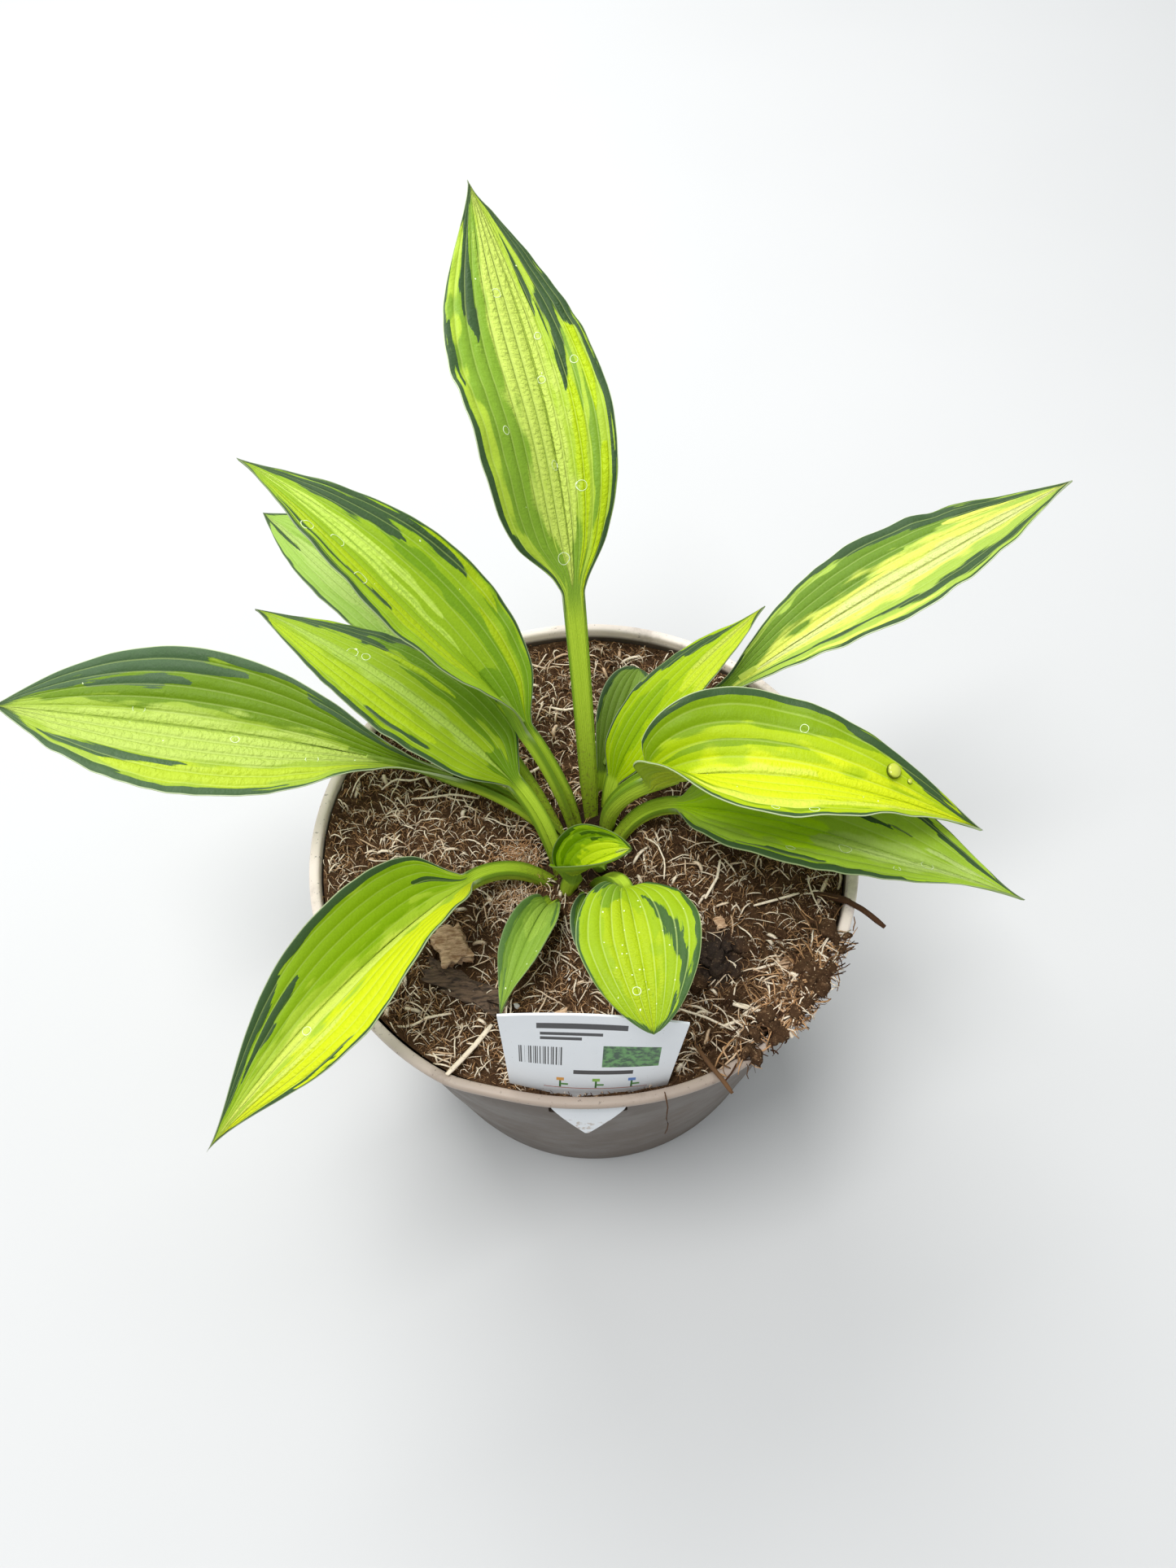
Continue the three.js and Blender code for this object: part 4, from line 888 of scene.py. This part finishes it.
def mark_field(across, along, marks):
    """How deep a point is inside a set of long pointed marks, from 0 outside to 1 in the middle."""
    field = np.zeros_like(across)
    for start, start_across, end, end_across, half in marks:
        share = np.clip((along - start) / (end - start), 0, 1)
        centre = start_across + (end_across - start_across) * share
        spots = zip(along * 14, across * 9)
        wobble = np.array([1 + 0.7 * noise.noise(Vector((a, c, start * 5))) for a, c in spots])
        width = half * np.sqrt(np.clip(4 * share * (1 - share), 0, 1)) * wobble + 1e-6
        inside = np.clip(1.6 * (1 - np.abs(across - centre) / width), 0, 1)
        field = np.maximum(field, np.where((share > 0) & (share < 1), inside, 0))
    return field


def leaf_piece(leaf, pattern):
    """Moves a fine grid onto the leaf: columns are veins and panels, rows run from foot to tip."""
    veins, stalk, blade, neck = pattern["veins"], leaf["stalk"], leaf["blade"], leaf["neck"] / 2
    rows = 104 if blade > 60 else 64
    bpy.ops.mesh.primitive_grid_add(x_subdivisions=veins * 10, y_subdivisions=rows, size=2)
    piece = just_made(leaf["name"].replace("leaf", "hosta_leaf"))
    mesh = piece.data
    grid = np.empty(len(mesh.vertices) * 3)
    mesh.vertices.foreach_get("co", grid)
    grid = grid.reshape(-1, 3)
    across, rise = -grid[:, 0], (grid[:, 1] + 1) / 2
    side, share = np.sign(across), np.abs(across)
    on_stem = rise < STEM_SHARE
    stem = np.clip(rise / STEM_SHARE, 0, 1)
    leafy = np.clip((rise - STEM_SHARE) / (1 - STEM_SHARE), 0, 1)
    leafy = leafy - 0.036 * np.sin(2 * np.pi * leafy)
    length = np.where(on_stem, stalk * stem, stalk + blade * leafy)
    below = length < stalk
    t = np.clip((length - stalk) / blade, 0, 1)
    point, left, up = midrib(leaf, length)
    stations, *trims = np.array(pattern["trim"], float).T
    trim_left, trim_right = (np.interp(t, stations, trim) for trim in trims)
    width = half_width(leaf, length, side) * np.where(below, 1, np.where(side > 0, trim_left, trim_right))
    flare = np.sin(np.clip(t / pattern["flare"], 0, 1) * math.pi / 2)
    width = np.where(below, width, neck + (width - neck) * flare)

    # The blade folds up along its midrib and curls from there to its margins.
    nearby = [np.interp(t + shift, [0, 0.3, 1], leaf["fold"]) for shift in np.linspace(-0.12, 0.12, 9)]
    fold = np.radians(np.mean(nearby, 0))
    curl = np.radians(leaf["curl"][0] + (leaf["curl"][1] - leaf["curl"][0]) * t)
    out, lift = np.zeros_like(t), np.zeros_like(t)
    for i in range(8):
        angle = fold + curl * share * (i + 0.5) / 8
        out += np.cos(angle) * share * width / 8
        lift += np.sin(angle) * share * width / 8
    slope = np.where(share == 0, 0, fold + curl * share)
    face = up * np.cos(slope)[:, None] - left * (side * np.sin(slope))[:, None]

    # Its relief: bulging panels between the veins, a keel, a wavy margin and fine puckers.
    leafness = np.clip(t / 0.1, 0, 1)
    panel = share * veins
    bulge = np.sin(np.pi * (panel - np.floor(panel))) ** 0.9 * (share < 0.999)
    wide = np.clip(width / 16, 0, 1)
    relief = pattern["relief"] * bulge * leafness * width / veins * np.clip((1 - t) * 4, 0, 1)
    relief += 0.45 * np.exp(-((share * width) / 1.2) ** 2) * leafness * (1 - t)
    seed = pattern["seed"]
    waves = zip(length / 14 * 2.0 + 9 * seed, across * 1.3)
    wave = np.array([noise.noise(Vector((s, u, 0.3))) for s, u in waves])
    relief += pattern["ripple"] * wave * share ** 3 * wide * leafness
    cells = zip(length / 2.6, across * veins * 0.9)
    pucker = np.array([noise.noise(Vector((s, u, seed))) for s, u in cells])
    relief += 0.10 * pucker * bulge * leafness * wide
    back = pattern["lobe"] * share ** 1.4 * np.clip(1 - t / 0.2, 0, 1) ** 2 * np.clip(t / 0.03, 0, 1)
    spot = point + left * (side * out)[:, None] + up * lift[:, None] + face * relief[:, None]
    spot = (spot - np.cross(left, up) * back[:, None]) / 1000
    mesh.vertices.foreach_set("co", spot.ravel())

    # What the shader reads: where a point lies on the leaf, and how deep it is in each kind of mark.
    growth = np.stack([across, np.where(on_stem, stem - 1, leafy), (1 - share) * width], 1)
    write_on(mesh, "growth", growth, "FLOAT_VECTOR")
    edge = np.where(side > 0, pattern["edges"][0], pattern["edges"][1])
    nearing = np.clip((t - pattern["tip"]) / (1 - pattern["tip"]), 0, 1)
    edge = np.where(on_stem, 0.22, edge + (1.05 - edge) * nearing ** 1.5)
    dark = np.clip(0.5 + (share - (1 - edge)) / np.clip(edge * 0.9, 0.06, 0.6), 0, 1)
    kinds = ("dark", "gaps", "green", "bright", "pale")
    marks = {kind: mark_field(across, t, pattern[kind]) for kind in kinds}
    dark = np.maximum(dark, marks["dark"] * (rise > STEM_SHARE)) - 1.3 * marks["gaps"]
    write_on(mesh, "paint", np.stack([dark, marks["green"], marks["bright"]], 1), "FLOAT_VECTOR")
    write_on(mesh, "pale", marks["pale"])

    keel = 1.3 * np.clip(1 - share * 6, 0, 1) * (1 - t)
    stem_depth = STEM_DEPTH + (0.9 - STEM_DEPTH) * share ** 2
    sheet = 0.7 - 0.4 * np.clip((share - 0.8) * 5, 0, 1)
    depth = stem_depth + (sheet + keel - stem_depth) * np.clip(t / 0.12, 0, 1)
    thick = piece.vertex_groups.new(name="thick")
    for index, value in enumerate(depth):
        thick.add([index], float(value / STEM_DEPTH), "REPLACE")
    on_whole_mesh((bpy.ops.mesh.remove_doubles, dict(threshold=0.000005)))
    body = piece.modifiers.new("body", "SOLIDIFY")
    body.thickness, body.offset, body.vertex_group = STEM_DEPTH / 1000, -1, "thick"
    body.use_even_offset = False
    top_count = len(mesh.vertices)
    bpy.ops.object.modifier_apply(modifier=body.name)
    write_on(piece.data, "underside", np.arange(len(piece.data.vertices)) >= top_count)
    piece.vertex_groups.clear()
    settle(piece, 60)
    return piece


def variegation():
    """One shader group for all the leaves: it puts out the blade's colour and its fine relief."""
    group = bpy.data.node_groups.new("hosta_variegation", "ShaderNodeTree")
    for names, kind, way in [
        (LEAF_COLOURS, "NodeSocketColor", "INPUT"), (LEAF_VALUES, "NodeSocketFloat", "INPUT"),
        (["Colour"], "NodeSocketColor", "OUTPUT"), (["Height", "Roughness"], "NodeSocketFloat", "OUTPUT"),
    ]:
        for name in names:
            group.interface.new_socket(name, in_out=way, socket_type=kind)
    given = group.nodes.new("NodeGroupInput").outputs
    result = group.nodes.new("NodeGroupOutput").inputs
    across, along, margin = added("SeparateXYZ", painted_on(group, "growth", "Vector"))
    dark, greener, brighter = added("SeparateXYZ", painted_on(group, "paint", "Vector"))
    washed, under = painted_on(group, "pale"), painted_on(group, "underside")
    place = object_place(group)

    def streaks(fine, coarse, shift, detail=3.0):
        """Noise drawn out along the veins."""
        vector = added("CombineXYZ", times(across, fine), times(along, coarse), plus(given["Seed"], shift))
        return grain(vector[0], 1.0, detail, 0.6)

    def ragged(value, texture, amount):
        """Adds a texture to a value, as much below it as above."""
        return plus(value, times(minus(texture, 0.5), amount))

    away = calc("ABSOLUTE", across)
    between = calc("FRACT", times(away, given["Veins"]))
    to_vein = calc("MINIMUM", between, minus(1.0, between))
    signed = calc("FLOOR", times(across, given["Veins"]))
    step = added("CombineXYZ", times(signed, 7.13), times(along, 1.7), given["Seed"])[0]
    panels = grain(step, 1.0, 1.0, 0.5)

    # The blade, from its base colour up: greener, brighter, milky, then the dark margin and its edge.
    base = ragged(ragged(greener, panels, 0.5), streaks(26, 2.4, 3.0), 0.7)
    colour = tint(fade(plus(base, given["Base green"]), 0.36, 0.64), given["Lime"], given["Green"])
    glow = ragged(brighter, streaks(20, 1.6, 11.0), 0.6)
    colour = tint(fade(glow, 0.25, 0.7), colour, given["Bright"])
    milky = ragged(washed, streaks(24, 2.0, 17.0), 0.7)
    colour = tint(fade(milky, 0.2, 0.75), colour, given["Pale"])
    deep = ragged(ragged(dark, streaks(24, 5.5, 23.0, 4.0), 1.9), panels, 0.35)
    colour = tint(times(fade(deep, 0.30, 0.42), 0.7), colour, given["Green"])
    colour = tint(fade(deep, 0.47, 0.56), colour, given["Dark"])
    vein = times(fade(to_vein, 0.10, 0.0), given["Vein strength"])
    colour = tint(vein, colour, tint(0.45, given["Lime"], (0.72, 0.83, 0.36)))
    cells = grain(place, 1500, 3, 0.6)
    colour = tint(times(fade(cells, 0.4, 0.7), 0.13), colour, (0.9, 1.0, 0.75), "SOFT_LIGHT")
    edge_line = times(fade(margin, 0.38, 0.1), fade(along, -0.2, 0.1))
    colour = tint(times(edge_line, given["Edge line"]), colour, (0.68, 0.76, 0.5))

    # The stalk: darker along its rims, yellower and speckled with purple-brown at its foot.
    stem_colour = tint(streaks(9, 3.0, 31.0), (0.34, 0.52, 0.02), (0.56, 0.74, 0.06))
    stem_colour = tint(fade(away, 0.62, 1.0), stem_colour, (0.16, 0.28, 0.015))
    low = fade(along, -0.35, -1.0)
    stem_colour = tint(times(low, 0.8), stem_colour, (0.24, 0.32, 0.015))
    speckle = times(fade(grain(place, 900, 2, 0.7), 0.53, 0.62), low)
    stem_colour = tint(times(speckle, 0.7), stem_colour, (0.11, 0.045, 0.03))
    stem = fade(along, 0.03, -0.12)
    colour = tint(stem, colour, stem_colour)
    beneath = tint(stem, tint(0.35, colour, (0.34, 0.50, 0.08)), stem_colour)
    connect(tint(under, colour, beneath), result["Colour"])

    ripple = added("CombineXYZ", times(across, 14.0), times(along, 95.0))[0]
    depth = times(plus(plus(times(washed, 1.6), times(brighter, 0.8)), 0.45), given["Pucker"])
    depth = times(depth, fade(to_vein, 0.0, 0.22))
    connect(plus(times(grain(ripple, 1.0, 2, 0.5), depth), times(cells, 0.18)), result["Height"])
    drift = plus(grain(place, 60, 3, 0.6), times(under, 0.4))
    connect(fade(drift, 0.3, 0.9, 0.42, 0.65), result["Roughness"])
    return group


GROUP = variegation()
for index, leaf in enumerate(LEAVES):
    pattern = {**LEAF_COLOURS, **PLAIN, **PATTERNS[leaf["name"]], "seed": 3.7 * (index + 1)}
    piece = leaf_piece(leaf, pattern)
    skin, _, shader = finish_of(piece.name + "_skin", 0.5, Specular_IOR_Level=0.18)
    made = skin.node_tree.nodes.new("ShaderNodeGroup")
    made.node_tree = GROUP
    for name in LEAF_COLOURS:
        connect(leaf_paint(pattern[name]), made.inputs[name])
    for name in LEAF_VALUES:
        connect(pattern[name.lower().replace(" ", "_")], made.inputs[name])
    connect(made.outputs["Roughness"], shader.inputs["Roughness"])
    raise_surface(shader, made.outputs["Height"], 0.0008, 0.8)
    coat(skin, shader, made.outputs["Colour"], piece)
    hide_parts(leaf["name"])
    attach(piece, "root")

# ---- Water drop and water marks -------------------------------------------------------------
# A bead of water and a droplet on the upper right leaf, the dried rings that earlier drops left,
# and tiny pale specks. They lie on the leaf's own surface.
RINGS = {
    "back": [(0.25, 0.71, 1.6), (-0.05, 0.5, 1.3), (0.05, 0.3, 1.5), (-0.38, 0.24, 1.7), (0.2, 0.09, 2.0),
             (-0.62, 0.52, 1.3), (0.62, 0.36, 1.3), (-0.2, 0.6, 1.2)],
    "right_lower": [(-0.06, 0.72, 2.0), (-0.33, 0.5, 2.1), (-0.63, 0.37, 1.6), (-0.6, 0.64, 1.2)],
    "left": [(-0.17, 0.71, 1.9), (0.32, 0.32, 2.1), (0.1, 0.5, 1.4)],
    "left_back": [(0.68, 0.72, 2.0), (0.62, 0.56, 2.2), (0.3, 0.65, 2.4)],
    "left_mid": [(-0.05, 0.64, 2.0), (-0.1, 0.6, 1.5)],
    "right_upper": [(-0.86, 0.46, 1.5), (-0.87, 0.38, 1.2), (0.62, 0.44, 1.4)],
    "front_round": [(-0.25, 0.78, 1.2)],
    "front_left": [(0.1, 0.62, 1.3)],
}
SPECKS = dict(count=46, on_round=26, others=["back", "left", "front_small", "right_upper", "left_back"])


def place_on_leaf(name, across, along):
    """A leaf, and a point of its face, its outward direction and the turn that faces that way."""
    leaf = bpy.data.objects["hosta_leaf_" + name]
    count = len(leaf.data.vertices)
    growth, below = np.empty(count * 3, np.float32), np.empty(count, np.float32)
    leaf.data.attributes["growth"].data.foreach_get("vector", growth)
    leaf.data.attributes["underside"].data.foreach_get("value", below)
    off = (growth[0::3] - across) ** 2 + (3 * (growth[1::3] - along)) ** 2 + 9 * below
    vertex = leaf.data.vertices[int(np.argmin(off))]
    return leaf, vertex.co.copy(), vertex.normal.copy(), vertex.normal.to_track_quat("Z", "Y").to_euler()


def drop(across, along, radius):
    _, point, normal, turn = place_on_leaf("right_upper", across, along)
    bpy.ops.mesh.primitive_uv_sphere_add(segments=32, ring_count=20, radius=radius, rotation=turn,
                                         location=point + normal * radius * 0.3, scale=(1.1, 0.95, 0.62))
    bead = bpy.context.object
    settle(bead, 80)
    heights = [(vertex.co - point).dot(normal) / radius for vertex in bead.data.vertices]
    write_on(bead.data, "height", heights)
    return bead


beads = joined("water_drops", [drop(0.56, 0.695, 0.0026), drop(0.55, 0.745, 0.0009)])
water, place, shader = finish_of("water_with_painted_light", 0.03, Transmission_Weight=0.35, IOR=1.33)
uneven = plus(painted_on(shader.id_data, "height"), times(grain(place, 600), 0.2))
# Painted light on the partly see-through water: dark olive round the sides, bright yellow-green on top.
seen = tint(fade(uneven, 0.55, 0.8), (0.09, 0.12, 0.008), (0.80, 0.86, 0.12))
# Painted light: a pale ring round the foot of each bead.
coat(water, shader, tint(fade(uneven, 0.3, 0.12), seen, (0.86, 0.95, 0.5)), beads)

marks = []
for leaf_name, rings in RINGS.items():
    for across, along, radius in rings:
        leaf, point, normal, turn = place_on_leaf(leaf_name, across, along)
        bpy.ops.mesh.primitive_torus_add(major_segments=28, minor_segments=4, major_radius=radius / 1000,
                                         minor_radius=0.00011, location=point, rotation=turn)
        ring = bpy.context.object
        bpy.ops.object.transform_apply()
        for vertex in ring.data.vertices:
            lift = (vertex.co - point).dot(normal)
            outward = vertex.co - point - normal * lift
            wobble = noise.noise(Vector((outward.x * 500 + len(marks), outward.y * 500, 0.5)))
            _, spot, facing, _ = leaf.closest_point_on_mesh(point + outward * (1 + 0.16 * wobble))
            vertex.co = spot + facing * (0.00004 + lift * 0.6)
        marks.append(ring)
for index in range(SPECKS["count"]):
    if index < SPECKS["on_round"]:
        leaf_name, across, along = "front_round", rng.uniform(-0.8, 0.85), rng.uniform(0.2, 0.9)
    else:
        leaf_name = SPECKS["others"][index % len(SPECKS["others"])]
        across, along = rng.uniform(-0.8, 0.8), rng.uniform(0.15, 0.85)
    _, point, _, turn = place_on_leaf(leaf_name, across, along)
    bpy.ops.mesh.primitive_ico_sphere_add(subdivisions=1, radius=rng.uniform(0.00012, 0.00028),
                                          location=point, rotation=turn, scale=(1, 1.5, 0.25))
    bpy.ops.object.transform_apply()
    marks.append(bpy.context.object)
marks = joined("water_marks", marks)
chalk, place, shader = finish_of("dried_water", 0.3)
coat(chalk, shader, tint(grain(place, 700), (0.62, 0.78, 0.36), (0.86, 0.93, 0.66)), marks)
for piece in (beads, marks):
    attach(piece, "root")

# ---- Shoot tip ------------------------------------------------------------------------------
# A new leaf still rolled in its sheath: a small green spike that stands beside the open leaves and
# leans towards the label. Sizes in metres.
SHOOT = dict(x=0.005, y=-0.0045, foot=0.130, height=0.016, radius=0.0024, bend=(0.0022, -0.0072, -0.0025))
bpy.ops.mesh.primitive_cone_add(vertices=24, radius1=SHOOT["radius"], radius2=0.0, depth=SHOOT["height"],
                                location=(SHOOT["x"], SHOOT["y"], SHOOT["foot"] + SHOOT["height"] / 2))
shoot = just_made("rolled_shoot")
bpy.ops.object.transform_apply()
on_whole_mesh(*[(bpy.ops.mesh.bisect, dict(plane_co=(0, 0, level), plane_no=(0, 0, 1)))
                for level in (0.1335, 0.137, 0.140, 0.143, 0.1445)])
for vertex in shoot.data.vertices:
    share = (vertex.co.z - SHOOT["foot"]) / SHOOT["height"]
    fuller = 1 + 0.7 * math.sin(math.pi * min(1, share * 1.05)) if share < 0.95 else 1
    x, y = vertex.co.x - SHOOT["x"], vertex.co.y - SHOOT["y"]
    wide = fuller * (1 + 0.10 * math.cos(math.atan2(y, x) + 1.2 * share))
    straight = Vector((SHOOT["x"] + x * wide, SHOOT["y"] + y * wide, vertex.co.z))
    vertex.co = straight + Vector(SHOOT["bend"]) * share * share
settle(shoot, 60)
sheath, place, shader = finish_of("rolled_leaf_skin", 0.42)
lines = grain(added("Mapping", place, None, None, (1, 1, 0.12))[0], 900, 2, 0.5)
colour = tint(lines, (0.12, 0.24, 0.02), (0.33, 0.50, 0.04))
colour = tint(fade(added("SeparateXYZ", place)["Z"], 0.137, 0.131), colour, (0.16, 0.12, 0.05))
raise_surface(shader, lines, 0.0002, 0.6)
coat(sheath, shader, colour, shoot)
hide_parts("shoot_tip")
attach(shoot, "root")

# ---- Plant label ----------------------------------------------------------------------------
# A white plastic card pushed down behind the rim, its pointed tongue out through the slot. It's
# printed with plain bars, a striped block, a green panel and a row of simple sprigs. Sizes in mm.
LABEL = dict(x=-5.2, y=-90.6, slot=133, turn=-4.2, tilt=-3.5, thick=0.7, face=(8, 55), wide=(49.5, 54.4),
             neck=24, tongue=-14, bend=88, arch=3.6, twist=0.037,
             heights=(-14, -4, 0.5, 4, 8, 55), inward=(-2.8, -1.0, 0.1, 2.6, 4.0, 11.5))


def label_half(h):
    """Half the card's width at a height above the slot."""
    low, high = LABEL["face"]
    foot, top = LABEL["wide"]
    if h >= low:
        return (foot + (top - foot) * (h - low) / (high - low)) / 2
    halves = [0.6, LABEL["neck"] / 2, LABEL["neck"] / 2, foot / 2]
    return float(np.interp(h, [LABEL["tongue"], 1.5, low - 0.8, low], halves))


bpy.ops.mesh.primitive_grid_add(x_subdivisions=48, y_subdivisions=70, size=2)
label = just_made("plant_label")
levels = np.concatenate([np.linspace(LABEL["tongue"], 7.2, 27), np.linspace(*LABEL["face"], 44)])
printed = []
turn, tilt = math.radians(LABEL["turn"]), math.radians(LABEL["tilt"])
for vertex in label.data.vertices:
    share = vertex.co.x
    h = float(np.interp((vertex.co.y + 1) / 2, np.linspace(0, 1, len(levels)), levels))
    x = share * label_half(h)
    rise = min(max(h / LABEL["face"][1], 0), 1)
    inward = float(np.interp(h, LABEL["heights"], LABEL["inward"]))
    y = inward + x * x / (2 * LABEL["bend"]) * (1 - rise) - LABEL["twist"] * rise * x - LABEL["thick"] / 2
    z = h + LABEL["arch"] * rise * (1 - share * share)
    printed.append((x, h, 0))
    x, z = spun(x, z, tilt)
    x, y = spun(x, y, turn)
    vertex.co = ((x + LABEL["x"]) / 1000, (y + LABEL["y"]) / 1000, (z + LABEL["slot"]) / 1000)
write_on(label.data, "print", printed, "FLOAT_VECTOR")
card = label.modifiers.new("card", "SOLIDIFY")
card.thickness, card.offset = LABEL["thick"] / 1000, -1
front_count = len(label.data.vertices)
bpy.ops.object.modifier_apply(modifier=card.name)
write_on(label.data, "front", np.arange(len(label.data.vertices)) < front_count)
settle(label, 40)

plastic, place, shader = finish_of("printed_white_card", 0.32, Specular_IOR_Level=0.5)
print_at = painted_on(plastic.node_tree, "print", "Vector")
sideways, upwards, _ = added("SeparateXYZ", print_at)
smudge = grain(place, 90, 4, 0.6)
paper = tint(smudge, (0.80, 0.83, 0.86), (0.88, 0.90, 0.92))
leafy = tint(fade(grain(print_at, 0.45, 3, 0.6), 0.38, 0.62), (0.015, 0.07, 0.03), (0.12, 0.34, 0.09))
stripes = fade(added("TexNoise", None, sideways, 2.1, 0.0, noise_dimensions="1D")["Fac"], 0.5, 0.53)
ink, petals = (0.03, 0.03, 0.035), [(0.72, 0.32, 0.05), (0.25, 0.48, 0.08), (0.10, 0.22, 0.55)]
blocks = [(-3, 49, 13, 1.5, ink), (-6, 44.5, 9, 0.8, ink), (-9, 41.8, 6, 0.8, ink), (4, 21.5, 9, 1.2, ink),
          (12, 31.5, 8.5, 6.5, leafy), (2, 11.0, 16, 0.16, (0.5, 0.16, 0.12))]
for x, petal in zip((-9, 2, 13), petals):
    blocks += [(x, 13.8, 0.25, 2.4, (0.05, 0.16, 0.04)), (x + 1.3, 13.4, 1.1, 0.5, (0.10, 0.28, 0.06)),
               (x, 16.6, 1.1, 0.9, petal)]


def block_at(x, y, half_x, half_y):
    """1 inside a printed block, 0 outside."""
    return times(*[fade(calc("ABSOLUTE", minus(way, middle)), half + 0.12, half)
                   for way, middle, half in ((sideways, x, half_x), (upwards, y, half_y))])


colour = tint(times(block_at(-15, 31, 6.5, 5.5), stripes), paper, ink)
for *block, dye in blocks:
    colour = tint(block_at(*block), colour, dye)
colour = tint(painted_on(plastic.node_tree, "front"), paper, colour)
root_marks = times(fade(upwards, -3, -5), fade(grain(place, 260, 3, 0.7), 0.52, 0.62, 0.0, 0.6))
colour = tint(root_marks, colour, (0.42, 0.30, 0.20))
dirt = fade(grain(place, 1400, 2, 0.7), 0.70, 0.76, 0.0, 0.5)
raise_surface(shader, smudge, 0.0002, 0.3)
coat(plastic, shader, tint(dirt, colour, (0.2, 0.14, 0.1)), label)
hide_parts("label")
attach(label, "root")
